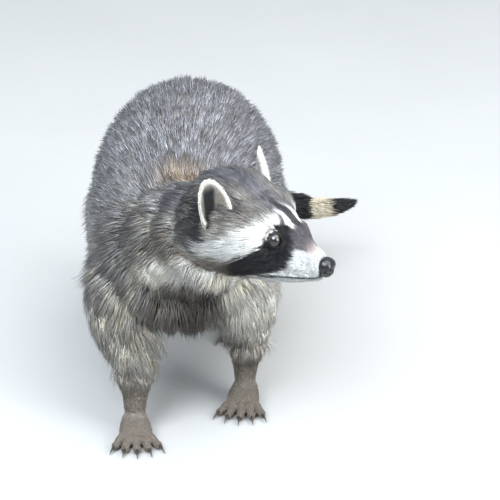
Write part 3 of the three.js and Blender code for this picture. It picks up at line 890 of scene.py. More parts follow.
class Skin:
    """The finished skin: points, triangles, normals, colours and, at each point, the coat's plan."""

    def build(self):
        """Works it all out, in the order that each step needs."""
        self.body()
        self.face()
        self.paws()
        self.finish()

    def body(self):
        """Trunk, neck, head, tail and legs fused into one surface, with its creases eased."""
        bodies = [closed(loft.surface(72, 120, 12)) for name, loft in LOFTS.items() if name not in PAWS]
        points, self.quads = remeshed(bodies, BODY_VOXEL)
        local = body_to_head(points)
        face = ramp(-20, -60, local[:, 1]) * near_head(local)
        feet = ramp(60, 30, points[:, 2])
        tail = ramp(236, 256, points[:, 1])
        ease = 0.55 * (1 - np.max([0.98 * face, 0.8 * feet, 0.93 * tail], axis=0))
        self.points = relaxed(points, edges_of(self.quads), ease[:, None], EASE_ROUNDS)

    def face(self):
        """The front of the head in finer faces, finest round the eyes and mouth, with eyelids and lips."""
        mesh = mesh_of("face", self.points, self.quads)
        work = bmesh.new()
        work.from_mesh(mesh)
        finer(work, FACE_CUTS, in_face)
        finer(work, FEATURE_CUTS, in_features)
        bmesh.ops.triangulate(work, faces=work.faces[:])
        work.to_mesh(mesh)
        work.free()
        points, triangles = arrays(mesh, 3)
        bpy.data.meshes.remove(mesh)
        local = body_to_head(points)
        inside = ramp(-28, -38, local[:, 1]) * near_head(local)
        local = relaxed(local, edges_of(triangles), 0.5 * inside[:, None], 12)
        local = np.where(inside[:, None] > 0, lipped(local, normals_of(local, triangles)), local)
        self.points, self.triangles = head_to_body(socketed(local)), triangles

    def paws(self):
        """Each paw: the lower leg, palm and toes fused, eased at the wrist and cut flat by the floor.

        It stands outside the lower end of the body's own leg and hides it.
        """
        self.body_count = len(self.points)
        for name, paw in PAWS.items():
            shin = Loft(LEGS[name.replace("paw", "leg")][-3:] + SHIN_GROWTH, SHIN_DOMES, up=LEG_UP)
            bodies = [closed(loft.surface(40, 34, 6)) for loft in [shin, *paw_lofts(paw)]]
            points, quads = remeshed(bodies, PAW_VOXEL)
            points = relaxed(points, edges_of(quads), 0.5, 3)
            wrist = ramp(13, 20, points[:, 2])
            points = relaxed(points, edges_of(quads), 0.5 * wrist[:, None], WRIST_ROUNDS)
            points[:, 2] = np.maximum(points[:, 2], FLOOR_GAP)
            self.triangles = np.vstack([self.triangles, triangles_of(quads) + len(self.points)])
            self.points = np.vstack([self.points, points])

    def finish(self):
        """The normals, the coat's plan, and how much the surface bends along the lie of the hair.

        No hair grows on a leg below SHIN_TOP, where its paw's mesh covers it, nor on a paw's mesh above it. The
        bend along the lie is the mean over a point's edges of step . change of normal / length^2, weighted by
        how well each edge follows the lie.
        """
        self.normals = normals_of(self.points, self.triangles)
        self.plan = plan(self.points, self.normals)
        self.comb()
        height = self.points[:, 2]
        buried = ramp(SHIN_TOP, SHIN_TOP - 3, height) * (self.plan["weight"] @ IS_LEG > 0.5)
        buried[self.body_count:] = ramp(SHIN_TOP, SHIN_TOP + 3, height[self.body_count:])
        self.plan["dense"] *= 1 - buried
        edges = edges_of(self.triangles)
        start, end = np.vstack([edges, edges[:, ::-1]]).T
        step, turn = self.points[end] - self.points[start], self.normals[end] - self.normals[start]
        length = np.maximum(dot(step, step), 1e-6)
        share = (dot(step, self.plan["lie"][start]) ** 2 / length + 0.01)[:, 0]
        bend = share * (dot(step, turn) / length)[:, 0]
        count = len(self.points)
        bend = np.bincount(start, bend, count) / np.bincount(start, share, count)
        self.bend = np.clip(relaxed(bend[:, None], edges, 0.6, 8)[:, 0], -0.008, 0.03)

    def comb(self):
        """Eases the lie, depth and traits over the surface, so that hair flows on from part to part."""
        edges, values = edges_of(self.triangles), self.plan
        still = ramp(-36, -44, body_to_head(self.points)[:, 1]) * (values["weight"][:, PART["head"]] > 0.5)
        share = 0.6 * (1 - 0.8 * still)[:, None]
        lie = relaxed(values["lie"], edges, share, LIE_ROUNDS)
        values["lie"] = unit(lie - self.normals * dot(lie, self.normals))
        for name in ("depth", "lift", "lock", "width"):
            values[name] = relaxed(values[name][:, None], edges, share, LIE_ROUNDS)[:, 0]
        values["weight"] = relaxed(values["weight"], edges, share * 0.8, LIE_ROUNDS)


def near_head(local):
    """Whether places in the head's frame are level with the head, and not down by the legs."""
    return (np.abs(local[:, 0]) < 60) & (local[:, 2] > -80)


def in_face(local):
    """Whether places in the head's frame belong to the face."""
    return (local[:, 1] < -34) & (np.abs(local[:, 0]) < 42) & (local[:, 2] > -72) & (local[:, 2] < 22)


def in_features(local):
    """Whether places in the head's frame are close to an eye, or to the line between the lips."""
    eye = np.linalg.norm(local * facing(local) - EYE_AT, axis=1) < EYE_REACH
    lips = (np.abs(local[:, 2] - mouth_line(local[:, 1])) < LIP_REACH) & (local[:, 1] < -37)
    return in_face(local) & (eye | lips)


def finer(work, cuts, chosen):
    """Cuts every edge of the chosen faces into equal lengths."""
    work.faces.ensure_lookup_table()
    middle = np.array([face.calc_center_median() for face in work.faces]) / MM - SHIFT
    numbers = np.flatnonzero(chosen(body_to_head(middle)))
    edges = {edge for number in numbers for edge in work.faces[number].edges}
    bmesh.ops.subdivide_edges(work, edges=list(edges), cuts=cuts, use_grid_fill=True)


# The skin operator fills this in, and the coat's operators read it
SKIN = Skin()


# ---------------------------------------------------------------------------
# Tufts
# ---------------------------------------------------------------------------

# The faces of one tuft: a point at the root, three round its waist and one at the tip
TUFT_FACES = np.array([(0, 2, 1), (0, 3, 2), (0, 1, 3), (4, 1, 2), (4, 2, 3), (4, 3, 1)])
# The pitches of the lattice that gathers tufts into locks
LOCK_WIDTHS = np.array([2.5, 4.0, 6.5, 10.0, 14.0])
# How far along and up a tuft its waist is, how deep its root sits, and where along it its markings are read
WAIST_ALONG, WAIST_UP, ROOT_DEPTH, READ_AT = 0.42, 0.62, 0.6, 0.6
# No piece of the coat has as many triangles as this
FACE_LIMIT = 200000
# The side of a tuft's patch of the map, and where its five points lie on it
PATCH = 0.003
PATCH_CORNERS = PATCH * np.array([(0, -0.5), (-0.5, 0), (0.5, 0), (0, 0.1), (0, 0.5)])


def sown(points, triangles, wanted, rng):
    """Random places on triangles: the triangle of each and its three weights, `wanted` tufts to a square mm."""
    a, b, c = (points[triangles[:, k]] for k in range(3))
    area = np.linalg.norm(np.cross(b - a, c - a), axis=1) / 2
    expected = area * wanted[triangles].mean(1)
    number = np.floor(expected + rng.random(len(expected))).astype(int)
    face = np.repeat(np.arange(len(triangles)), number)
    r, s = rng.random((2, len(face)))
    r = np.sqrt(r)
    return face, np.stack([1 - r, r * (1 - s), r * s], -1)


def blended(values, corners, weights):
    """Values of points, blended over each triangle by its weights."""
    return np.einsum("nk,nk...->n...", weights, values[corners])


def locks(roots, width):
    """Each root's lock: the step from the root to the lock's middle, and four random numbers of the lock.

    Locks are the cells of a lattice, bent by noise, whose pitch is the nearest of a few widths.
    """
    pitch = LOCK_WIDTHS[np.abs(width[:, None] - LOCK_WIDTHS).argmin(1)][:, None]
    bent = roots + noise(roots, 17.0)[:, :3] * pitch * 0.8
    cell = np.floor(bent / pitch)
    luck = chance(cell + pitch)
    middle = (cell + 0.5 + (luck[:, :3] - 0.5) * 0.5) * pitch
    return middle - bent, luck


def tufts(roots, normals, lie, run, rise, width, bend, lock, rng, pull):
    """Five points for each tuft: root, three round the waist and tip. Also a random number of its lock.

    The waist is at WAIST_ALONG of the run and WAIST_UP of the rise, and the tip at the whole of both. Both drop
    by bend * distance^2 / 2, as the skin does. Tips lean to the middle of their lock by the share `pull`.
    """
    toward, luck = locks(roots, lock)
    toward = toward - normals * dot(toward, normals)
    loose = ramp(0, 9, lock)[:, None]
    pull = pull * loose
    side = unit(np.cross(normals, lie))
    swing = (luck[:, :1] - 0.5) * 0.55 * loose + rng.normal(0, 0.08, (len(roots), 1))
    lie = unit(lie + side * swing)
    run = run * (0.8 + 0.25 * luck[:, 1]) * rng.uniform(0.8, 1.12, len(roots))
    rise = rise * (0.8 + 0.25 * luck[:, 2]) * rng.uniform(0.75, 1.1, len(roots))
    reach = np.stack([WAIST_ALONG * run, run], -1)
    high = np.stack([WAIST_UP * rise, rise], -1) - bend[:, None] * reach**2 / 2
    waist = roots + lie * reach[:, :1] + normals * high[:, :1] + toward * (0.35 * pull)
    tip = roots + lie * reach[:, 1:] + normals * high[:, 1:] + toward * pull
    across = unit(np.cross(tip - roots, normals))
    over = unit(np.cross(across, tip - roots))
    half = width[:, None] / 2
    waists = [waist - across * half, waist + across * half, waist + over * half * 0.8]
    return np.stack([roots - normals * ROOT_DEPTH, *waists, tip], 1), luck[:, 3:]


def tuft_colours(colour, differ, lock, rng):
    """Colours of a tuft's five points, each tuft and each whole lock a little lighter or darker.

    The root is dark underfur. The middle is a pale band where the tip is dark, and the tip is pale or dark on
    some tufts and plain on the rest.
    """
    differ = differ[:, None]
    luck, own = rng.random((2, len(colour), 1))
    colour = colour * np.exp(differ * (0.65 * (lock - 0.5) + 0.4 * (own - 0.5)))
    dark, pale = (luck < 0.3) * differ, (luck > 0.74) * differ
    band = mix(colour, colour * tone(1.25, 1.14, 0.96), dark)
    tip = mix(mix(colour, colour * 0.22, dark), np.clip(colour * 1.6 + 0.05, 0, 0.86), pale)
    root = colour * mix(0.6, 0.36, differ) * tone(1.0, 0.93, 0.86)
    return np.clip(np.stack([root, band, band, band, tip], 1), 0, 0.9)


def coat_piece(name, slot, corners, colours, unwrap):
    """A piece of joined tufts, with its colours and the map, named OFBake, of each tuft's patch on the unwrap.
    """
    faces = (TUFT_FACES + 5 * np.arange(len(corners))[:, None, None]).reshape(-1, 3)
    if len(faces) >= FACE_LIMIT:
        raise RuntimeError(f"{name} has {len(faces)} triangles, and the limit is {FACE_LIMIT}")
    mesh = mesh_of(name, corners.reshape(-1, 3), faces)
    stored_on(mesh, "Coat", opaque(colours.reshape(-1, 3)))
    spot = PATCH + (1 - 2 * PATCH) * np.clip(unwrap, 0, 1)[:, None] + PATCH_CORNERS
    uv = spot.reshape(-1, 2)[faces.ravel()].astype(np.float32)
    mesh.uv_layers.new(name="OFBake").data.foreach_set("uv", uv.ravel())
    show(name, mesh, bpy.data.materials.get("Coat") or coat_finish())


def skin_coat(parts, where, seed):
    """Tufts for some of the skin: their points, colours and places on the unwrap.

    They grow on the triangles of `parts` for which `where` is true of their middle and normal. A tuft's run is
    depth / tan(lift).
    """
    rng = np.random.default_rng(seed)
    settings = bpy.context.scene.raccoon_coat
    points, triangles, values = SKIN.points, SKIN.triangles, SKIN.plan
    chosen = np.isin(values["part"][triangles[:, 0]], [PART[name] for name in parts])
    chosen &= where(points[triangles].mean(1), SKIN.normals[triangles].mean(1))
    triangles = triangles[chosen]
    face, weights = sown(points, triangles, values["dense"] * settings.fullness, rng)
    corners = triangles[face]
    nearest = corners[np.arange(len(corners)), weights.argmax(1)]

    def here(field):
        return blended(field, corners, weights)

    roots, normals = here(points), unit(here(SKIN.normals))
    lie = here(values["lie"])
    lie = unit(lie - normals * dot(lie, normals))
    depth, lift = here(values["depth"]), np.radians(here(values["lift"]))
    width = here(values["width"]) * rng.uniform(0.7, 1.25, len(roots))
    run = depth / np.tan(lift)
    seen = roots + lie * (READ_AT * run)[:, None] + normals * (READ_AT * depth)[:, None]
    colour, differ = markings(seen, normals, here(values["weight"]))
    made, lock = tufts(roots, normals, lie, run, depth, width, here(SKIN.bend), values["lock"][nearest], rng,
                       settings.clumping)
    made[..., 2] = np.maximum(made[..., 2], FLOOR_GAP)
    return made, tuft_colours(colour, differ, lock, rng), values["unwrap"][nearest]


# ---------------------------------------------------------------------------
# Materials
# ---------------------------------------------------------------------------

def put(tree, value, socket):
    """Gives an input a number, or joins it to the output that `value` is."""
    if isinstance(value, (int, float)):
        socket.default_value = value
    else:
        tree.links.new(value, socket)


def effect_group(name, inputs, build):
    """A node group with the named float or vector inputs and one float output, filled in by `build`."""
    group = bpy.data.node_groups.new(name, "ShaderNodeTree")
    for socket, kind, value in inputs:
        made = group.interface.new_socket(socket, in_out="INPUT", socket_type=kind)
        if value is not None:
            made.default_value = value
    group.interface.new_socket("Value", in_out="OUTPUT", socket_type="NodeSocketFloat")
    start, end = group.nodes.new("NodeGroupInput"), group.nodes.new("NodeGroupOutput")
    put(group, build(group, start.outputs), end.inputs["Value"])
    return group


def noise_node(tree, vector, scale, detail=3.0):
    """A noise texture's value."""
    node = tree.nodes.new("ShaderNodeTexNoise")
    for name, value in (("Vector", vector), ("Scale", scale), ("Detail", detail)):
        put(tree, value, node.inputs[name])
    return node.outputs["Fac"]


def spread(tree, value, low, high):
    """A value's 0.3 to 0.7 mapped to low to high."""
    node = tree.nodes.new("ShaderNodeMapRange")
    ends = {"Value": value, "From Min": 0.3, "From Max": 0.7, "To Min": low, "To Max": high}
    for name, end in ends.items():
        put(tree, end, node.inputs[name])
    return node.outputs["Result"]


def mottle(tree, sockets):
    """Noise of the given scale, spread between two values."""
    return spread(tree, noise_node(tree, sockets["Place"], sockets["Scale"]), sockets["Low"], sockets["High"])


def strands(tree, sockets):
    """Fine noise on coordinates that are squeezed along the hair, so its specks are drawn out into hairs."""
    return noise_node(tree, sockets["Flow"], sockets["Scale"], 2.0)


def pebbles(tree, sockets):
    """Small rounded cells: the distance from the middles of scattered cells."""
    node = tree.nodes.new("ShaderNodeTexVoronoi")
    node.feature = "SMOOTH_F1"
    put(tree, sockets["Place"], node.inputs["Vector"])
    put(tree, sockets["Scale"], node.inputs["Scale"])
    return node.outputs["Distance"]


GROUPS = {
    "Mottle": ([("Place", "NodeSocketVector", None), ("Scale", "NodeSocketFloat", 400.0),
                ("Low", "NodeSocketFloat", 0.0), ("High", "NodeSocketFloat", 1.0)], mottle),
    "Strands": ([("Flow", "NodeSocketVector", None), ("Scale", "NodeSocketFloat", 30.0)], strands),
    "Pebbles": ([("Place", "NodeSocketVector", None), ("Scale", "NodeSocketFloat", 900.0)], pebbles),
}


class Finish:
    """A material under construction: its node tree, its shader and short ways to add to it."""

    def __init__(self, name, **constants):
        self.material = bpy.data.materials.new(name)
        self.material.use_nodes = True
        self.tree = self.material.node_tree
        self.shader = self.tree.nodes["Principled BSDF"]
        for socket, value in constants.items():
            self.shader.inputs[socket.replace("_", " ")].default_value = value
        self.place = self.tree.nodes.new("ShaderNodeTexCoord").outputs["Object"]

    def effect(self, name, vector=None, **values):
        """A shared effect's output, with its own values."""
        node = self.tree.nodes.new("ShaderNodeGroup")
        if name not in bpy.data.node_groups:
            effect_group(name, *GROUPS[name])
        node.node_tree = bpy.data.node_groups[name]
        put(self.tree, vector or self.place, node.inputs[0])
        for socket, value in values.items():
            put(self.tree, value, node.inputs[socket])
        return node.outputs["Value"]

    def stored(self, name, output="Fac"):
        """The mesh's own attribute of that name."""
        node = self.tree.nodes.new("ShaderNodeAttribute")
        node.attribute_name = name
        return node.outputs[output]

    def times(self, value, factor):
        """A value multiplied by a number."""
        node = self.tree.nodes.new("ShaderNodeMath")
        node.operation = "MULTIPLY"
        put(self.tree, value, node.inputs[0])
        put(self.tree, factor, node.inputs[1])
        return node.outputs[0]

    def blend(self, low, high, share):
        """One value where share is 0, another where it is 1."""
        node = self.tree.nodes.new("ShaderNodeMix")
        for value, socket in zip((share, None, low, high), node.inputs):
            if value is not None:
                put(self.tree, value, socket)
        return node.outputs[0]

    def tinted(self, colour, value):
        """A colour socket multiplied by a value."""
        node = self.tree.nodes.new("ShaderNodeVectorMath")
        node.operation = "SCALE"
        put(self.tree, colour, node.inputs[0])
        put(self.tree, value, node.inputs["Scale"])
        return node.outputs[0]

    def steps(self, value, stops):
        """A colour from a value, by (place, colour) stops: the first, the last, then those between in order."""
        node = self.tree.nodes.new("ShaderNodeValToRGB")
        made = node.color_ramp.elements
        for number, (at, colour) in enumerate(stops):
            stop = made[number] if number < 2 else made.new(at)
            stop.position, stop.color = at, (*colour, 1)
        put(self.tree, value, node.inputs["Fac"])
        return node.outputs["Color"]

    def bump(self, height, distance, strength):
        """Feeds a height to the shader's normal."""
        node = self.tree.nodes.new("ShaderNodeBump")
        for name, value in (("Distance", distance), ("Strength", strength), ("Height", height)):
            put(self.tree, value, node.inputs[name])
        self.feed("Normal", node.outputs["Normal"])

    def feed(self, socket, value):
        """Joins an output to one of the shader's inputs."""
        put(self.tree, value, self.shader.inputs[socket])


def coat_finish():
    """Hair: its stored colour with fine changes along and across the tufts, soft and slightly glossy."""
    made = Finish("Coat", Specular_IOR_Level=0.28)
    shade = made.effect("Mottle", Scale=700.0, Low=0.8, High=1.2)
    made.feed("Base Color", made.tinted(made.stored("Coat", "Color"), shade))
    made.feed("Roughness", made.effect("Mottle", Scale=300.0, Low=0.5, High=0.72))
    return made.material


def skin_finish():
    """Short flat hair drawn along the skin, and bare dark skin with fine pebbles where the coat stops."""
    made = Finish("Skin", Specular_IOR_Level=0.3)
    hair = made.effect("Strands", made.stored("Flow", "Vector"), Scale=34.0)
    made.feed("Base Color", made.tinted(made.stored("Coat", "Color"), spread(made.tree, hair, 0.72, 1.2)))
    made.feed("Roughness", spread(made.tree, hair, 0.55, 0.8))
    pores = made.times(made.effect("Pebbles", Scale=1500.0), 0.2)
    made.bump(made.blend(pores, hair, made.stored("Furry")), 0.0008, 0.7)
    return made.material


def nose_finish():
    """Moist black leather: rounded pebbles, a little paler where it is dry."""
    made = Finish("Nose leather", Specular_IOR_Level=0.4, Coat_Weight=0.2, Coat_Roughness=0.16)
    dull = made.effect("Mottle", Scale=260.0, Low=0.0, High=1.0)
    made.feed("Base Color", made.steps(dull, [(0.0, (0.003, 0.003, 0.004)), (1.0, (0.01, 0.01, 0.012))]))
    made.feed("Roughness", made.effect("Mottle", Scale=500.0, Low=0.2, High=0.32))
    made.bump(made.effect("Pebbles", Scale=1100.0), 0.0004, 0.4)
    return made.material


def claw_finish():
    """Dark horn, streaked along its length and paler at the tip."""
    made = Finish("Claw horn", Specular_IOR_Level=0.5)
    streaks = made.effect("Mottle", Scale=900.0, Low=0.75, High=1.25)
    base = made.steps(made.stored("Length"), [
        (0.0, (0.02, 0.016, 0.014)), (1.0, (0.11, 0.09, 0.075)), (0.55, (0.035, 0.028, 0.024)),
    ])
    made.feed("Base Color", made.tinted(base, streaks))
    made.feed("Roughness", made.effect("Mottle", Scale=600.0, Low=0.28, High=0.45))
    made.bump(streaks, 0.0002, 0.5)
    return made.material


def eye_finish():
    """A wet dark eye: black pupil, deep brown iris with radial fibres, dark rim, under a clear gloss."""
    made = Finish("Eye", Specular_IOR_Level=0.35, Coat_Weight=1.0, Coat_Roughness=0.02)
    fibres = made.effect("Strands", made.stored("Flow", "Vector"), Scale=9.0)
    colour = made.steps(made.stored("Gaze"), [
        (0.0, (0.001, 0.001, 0.0015)), (1.0, (0.02, 0.016, 0.014)), (0.1, (0.001, 0.001, 0.0015)),
        (0.125, (0.006, 0.003, 0.0015)), (0.2, (0.008, 0.004, 0.002)), (0.27, (0.004, 0.0025, 0.002)),
        (0.32, (0.012, 0.01, 0.009)),
    ])
    made.feed("Base Color", made.tinted(colour, spread(made.tree, fibres, 0.6, 1.5)))
    made.feed("Roughness", made.effect("Mottle", Scale=500.0, Low=0.1, High=0.14))
    return made.material


def floor_finish():
    """Pale matt studio floor with the faintest unevenness."""
    made = Finish("Floor", Specular_IOR_Level=0.2)
    made.feed("Base Color", made.steps(
        made.effect("Mottle", Scale=3.0), [(0.0, (0.4, 0.4, 0.395)), (1.0, (0.42, 0.42, 0.415))]))
    made.feed("Roughness", made.effect("Mottle", Scale=20.0, Low=0.85, High=0.95))
    return made.material


# ---------------------------------------------------------------------------
# Settings
# ---------------------------------------------------------------------------

class RaccoonCoatSettings(bpy.types.PropertyGroup):
    """How full and how ruffled the coat is."""

    fullness: bpy.props.FloatProperty(
        name="Fullness", description="Share of the full number of tufts", default=1.0, min=0.05, max=1.0)
    clumping: bpy.props.FloatProperty(
        name="Clumping", description="How far tips lean to the middle of their lock", default=0.42, min=0.0,
        max=1.0)
    seed: bpy.props.IntProperty(name="Seed", description="Which scatter of tufts is used", default=5, min=0)


class RaccoonStageSettings(bpy.types.PropertyGroup):
    """Where the camera stands, and the studio's light."""

    distance: bpy.props.FloatProperty(
        name="Distance", description="From the camera to the middle of the view", default=3.2, unit="LENGTH")
    elevation: bpy.props.FloatProperty(
        name="Elevation", description="How far the camera looks down", default=np.radians(23), subtype="ANGLE",
        unit="ROTATION")
    lens: bpy.props.FloatProperty(name="Lens", description="Focal length in millimetres", default=225.5)
    key_power: bpy.props.FloatProperty(
        name="Key light", description="Power of the large light overhead", default=108.0, subtype="POWER",
        unit="POWER")
    fill_power: bpy.props.FloatProperty(
        name="Fill light", description="Power of the light beside the camera", default=62.0, subtype="POWER",
        unit="POWER")
    glint_power: bpy.props.FloatProperty(
        name="Glint light", description="Power of the small light that shows in the eyes", default=88.0,
        subtype="POWER", unit="POWER")
    sky: bpy.props.FloatVectorProperty(
        name="Sky", description="Colour of the light from all round", default=(0.84, 0.93, 1.0),
        subtype="COLOR")
    sky_strength: bpy.props.FloatProperty(name="Sky strength", description="How bright it is", default=0.74)


# ---------------------------------------------------------------------------
# Operators
# ---------------------------------------------------------------------------

def flesh_nodes():
    """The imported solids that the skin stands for: all but eyes, nose and claws."""
    return [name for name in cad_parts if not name.startswith(("claw_", "eye_", "nose"))]


class RACCOON_OT_skin(bpy.types.Operator):
    """One skin over the body, head, ears, legs, paws and tail"""

    bl_idname = "raccoon.skin"
    bl_label = "Skin and ears"

    def execute(self, context):
        SKIN.build()
        points, triangles = SKIN.points, SKIN.triangles
        colour, _ = markings(points, SKIN.normals, SKIN.plan["weight"])
        bare = SKIN.plan["bare"][:, None]
        colour = mix(colour * 0.7, SKIN_DARK, bare)
        unwrap = SKIN.plan["unwrap"]
        angle = unwrap[:, :1] * 2 * np.pi
        flow = np.hstack([np.cos(angle), np.sin(angle), unwrap[:, 1:] * 1.2])
        for sign in (-1, 1):
            ear, faces, local = ear_leaf(sign)
            triangles = np.vstack([triangles, faces + len(points)])
            points = np.vstack([points, ear])
            colour = np.vstack([colour, ear_colours(local) * 0.8])
            bare = np.vstack([bare, np.zeros((len(ear), 1))])
            flow = np.vstack([flow, local * [2, 0.3, 0.2]])
        mesh = mesh_of("skin", points, triangles)
        for name, values in (("Coat", opaque(colour)), ("Flow", flow), ("Furry", 1 - bare)):
            stored_on(mesh, name, values)
        show("skin", mesh, skin_finish(), flesh_nodes())
        return {"FINISHED"}


class RACCOON_OT_eyes(bpy.types.Operator):
    """The two eyeballs, each a ball whose radius swells by a bell over the cornea"""

    bl_idname = "raccoon.eyes"
    bl_label = "Eyes"

    def execute(self, context):
        finish = eye_finish()
        for name, sign in (("eye_right", -1), ("eye_left", 1)):
            down, around = ball_grid(48, 64)
            gaze = unit(np.array(GAZE) * [sign, 1, 1])
            right = unit(np.cross(gaze, [0, 0, 1]))
            over = np.cross(right, gaze)
            radius = EYE_RADIUS + CORNEA * bell(down, 0.55)
            flat = np.sin(down) * radius
            ball = (gaze * (np.cos(down) * radius)[..., None] + right * (flat * np.cos(around))[..., None]
                    + over * (flat * np.sin(around))[..., None]) + EYE_AT * [sign, 1, 1]
            points, quads, fans = closed(head_to_body(ball))
            mesh = mesh_of(name + "_ball", points, quads, fans)
            stored_on(mesh, "Gaze", packed((down / np.pi)[..., None]))
            stored_on(mesh, "Flow", packed(np.stack([np.cos(around), np.sin(around), down * 0.15], -1)))
            show(name + "_ball", mesh, finish, [name])
        return {"FINISHED"}


class RACCOON_OT_nose(bpy.types.Operator):
    """The nose leather: a rounded block with two nostrils, slit to the sides, and a furrow"""

    bl_idname = "raccoon.nose"
    bl_label = "Nose"

    def execute(self, context):
        down, around = ball_grid(90, 120)
        across, high, ahead = np.sin(down) * np.cos(around), np.sin(down) * np.sin(around), np.cos(down)
        shape = np.stack([across, -ahead, high], -1)
        shape = np.sign(shape) * np.abs(shape) ** [0.82, 0.9, 0.86]
        x = shape[..., 0] * NOSE["width"] * (1 - 0.3 * ramp(0.1, -1.0, shape[..., 2]))
        y = shape[..., 1] * NOSE["deep"] - 0.9 * ramp(-0.2, 0.9, shape[..., 2]) * ramp(0, 1, ahead)
        z = shape[..., 2] * np.where(shape[..., 2] > 0, NOSE["above"], NOSE["below"])
        side, (out, up) = np.abs(x), NOSE["nostril"]
        pit = bell(np.hypot((side - out) / 2.1, (z - up) / 2.5), 0.8)
        slit = bell(z + 0.6 + 0.22 * (side - out), 0.95) * ramp(3.6, 5.0, side) * ramp(10, 8, side)
        wing = bell(np.hypot((side - 5.6) / 2.6, (z - 1.8) / 2.0), 1.0)
        furrow = bell(x, 0.75) * ramp(3.5, -1.5, z)
        sink = np.maximum(3.6 * pit, 1.7 * slit) - 0.55 * wing * (1 - pit) + 0.9 * furrow
        sink = sink * ramp(-0.25, 0.2, ahead)
        inward = unit(np.stack([-x * 0.5, -y, -z * 0.5], -1))
        grid = np.stack([x, y, z], -1) + inward * sink[..., None] + NOSE_AT
        points, quads, fans = closed(head_to_body(grid))
        show("nose_leather", mesh_of("nose_leather", points, quads, fans), nose_finish(), ["nose"])
        return {"FINISHED"}


class RACCOON_OT_claws(bpy.types.Operator):
    """Five curved claws to a paw, each an oval profile that narrows along an arc to a blunt point"""

    bl_idname = "raccoon.claws"
    bl_label = "Claws"

    def execute(self, context):
        finish = claw_finish()
        for name, paw in PAWS.items():
            bodies, lengths = [], []
            for toe in paw_lofts(paw)[1:]:
                grid, along = claw(toe)
                bodies.append(closed(grid))
                lengths.append(packed(along[..., None]))
            mesh = mesh_of("claws_" + name, *joined(bodies))
            stored_on(mesh, "Length", np.vstack(lengths))
            nodes = [f"claw_{name}_{number}" for number in range(1, 6)]
            show("claws_" + name, mesh, finish, nodes)
        return {"FINISHED"}


def claw(toe, rows=22, columns=18):
    """One claw from inside the end of its toe, as a grid, with the share s of its length at each point.

    Its height above the floor is 4.6 + 3.4 s (1 - s) - 3.5 s^2, and its radius falls as (1 - s^1.6)^0.7 after a
    short closed root.
    """
    end = toe.stations[-1, :3]
    ahead = unit((end - toe.stations[0, :3]) * [1, 1, 0])
    share = np.linspace(0, 1, rows)
    path = end * [1, 1, 0] + ahead * ((CLAW["length"] + CLAW["root"]) * share - CLAW["root"])[:, None]
    path[:, 2] = 4.6 + 3.4 * share * (1 - share) - 3.5 * share**2
    radius = CLAW["radius"] * (1 - share**1.6) ** 0.7 * ramp(-0.35, 0.06, share)
    radius[0] = 0
    side = np.cross(ahead, [0, 0, 1])
    above = np.cross(side, unit(np.gradient(path, axis=0)))
    angle = np.arange(columns) / columns * 2 * np.pi
    wide = (radius[:, None] * np.cos(angle) * CLAW["narrow"])[..., None]
    high = (radius[:, None] * np.sin(angle))[..., None]
    grid = path[:, None] + side * wide + above[:, None] * high
    grid[..., 2] = np.maximum(grid[..., 2], 0.25)
    return grid @ toe.turn.T + toe.at, np.broadcast_to(share[:, None], (rows, columns))


def everywhere(at, up):
    """True for each triangle of a part."""
    return np.full(len(at), True)


def head_y(at):
    """How far back on the head places are."""
    return body_to_head(at)[:, 1]


# Where the back turns into the flanks by the normal's height, where the face ends, and how high paws reach
BACK_SLOPE, FACE_END, PAW_TOP = 0.45, -42, 34
# Each piece of the coat: its record slot, the parts it grows on, and where on them, by the middles and normals
# of their triangles
COAT = {
    "trunk": {
        "coat_back": ("body_coat", ["trunk"], lambda at, up: up[:, 2] > BACK_SLOPE),
        "coat_flank_left": ("body_coat", ["trunk"], lambda at, up: (up[:, 2] <= BACK_SLOPE) & (at[:, 0] > 0)),
        "coat_flank_right": ("body_coat", ["trunk"], lambda at, up: (up[:, 2] <= BACK_SLOPE) & (at[:, 0] <= 0)),
        "coat_neck": ("body_coat", ["neck"], everywhere),
        "coat_tail": ("tail_coat", ["tail"], everywhere),
    },
    "head": {
        "coat_face": ("head_coat", ["head"], lambda at, up: head_y(at) < FACE_END),
        "coat_crown": ("head_coat", ["head"], lambda at, up: head_y(at) >= FACE_END),
    },
    "legs": {
        "coat_foreleg_left": ("leg_coat", ["foreleg_left"], everywhere),
        "coat_foreleg_right": ("leg_coat", ["foreleg_right"], everywhere),
        "coat_hindleg_left": ("leg_coat", ["hindleg_left"], everywhere),
        "coat_hindleg_right": ("leg_coat", ["hindleg_right"], everywhere),
        "coat_paws": ("paw_coat", list(PAWS), lambda at, up: at[:, 2] < PAW_TOP),
    },
}


def grow(group, context):
    """Makes the pieces of coat in one group, each from its own scatter."""
    for number, (name, (slot, parts, where)) in enumerate(COAT[group].items()):
        coat_piece(name, slot, *skin_coat(parts, where, context.scene.raccoon_coat.seed * 100 + number))


class RACCOON_OT_trunk_coat(bpy.types.Operator):
    """Tufts on the trunk, neck and tail"""

    bl_idname = "raccoon.trunk_coat"
    bl_label = "Coat of the trunk, neck and tail"

    def execute(self, context):
        grow("trunk", context)
        return {"FINISHED"}


class RACCOON_OT_head_coat(bpy.types.Operator):
    """Tufts on the face, crown and cheeks"""

    bl_idname = "raccoon.head_coat"
    bl_label = "Coat of the head"

    def execute(self, context):
        grow("head", context)
        return {"FINISHED"}


class RACCOON_OT_leg_coat(bpy.types.Operator):
    """Tufts on the legs and paws"""

    bl_idname = "raccoon.leg_coat"
    bl_label = "Coat of the legs and paws"

    def execute(self, context):
        grow("legs", context)
        return {"FINISHED"}


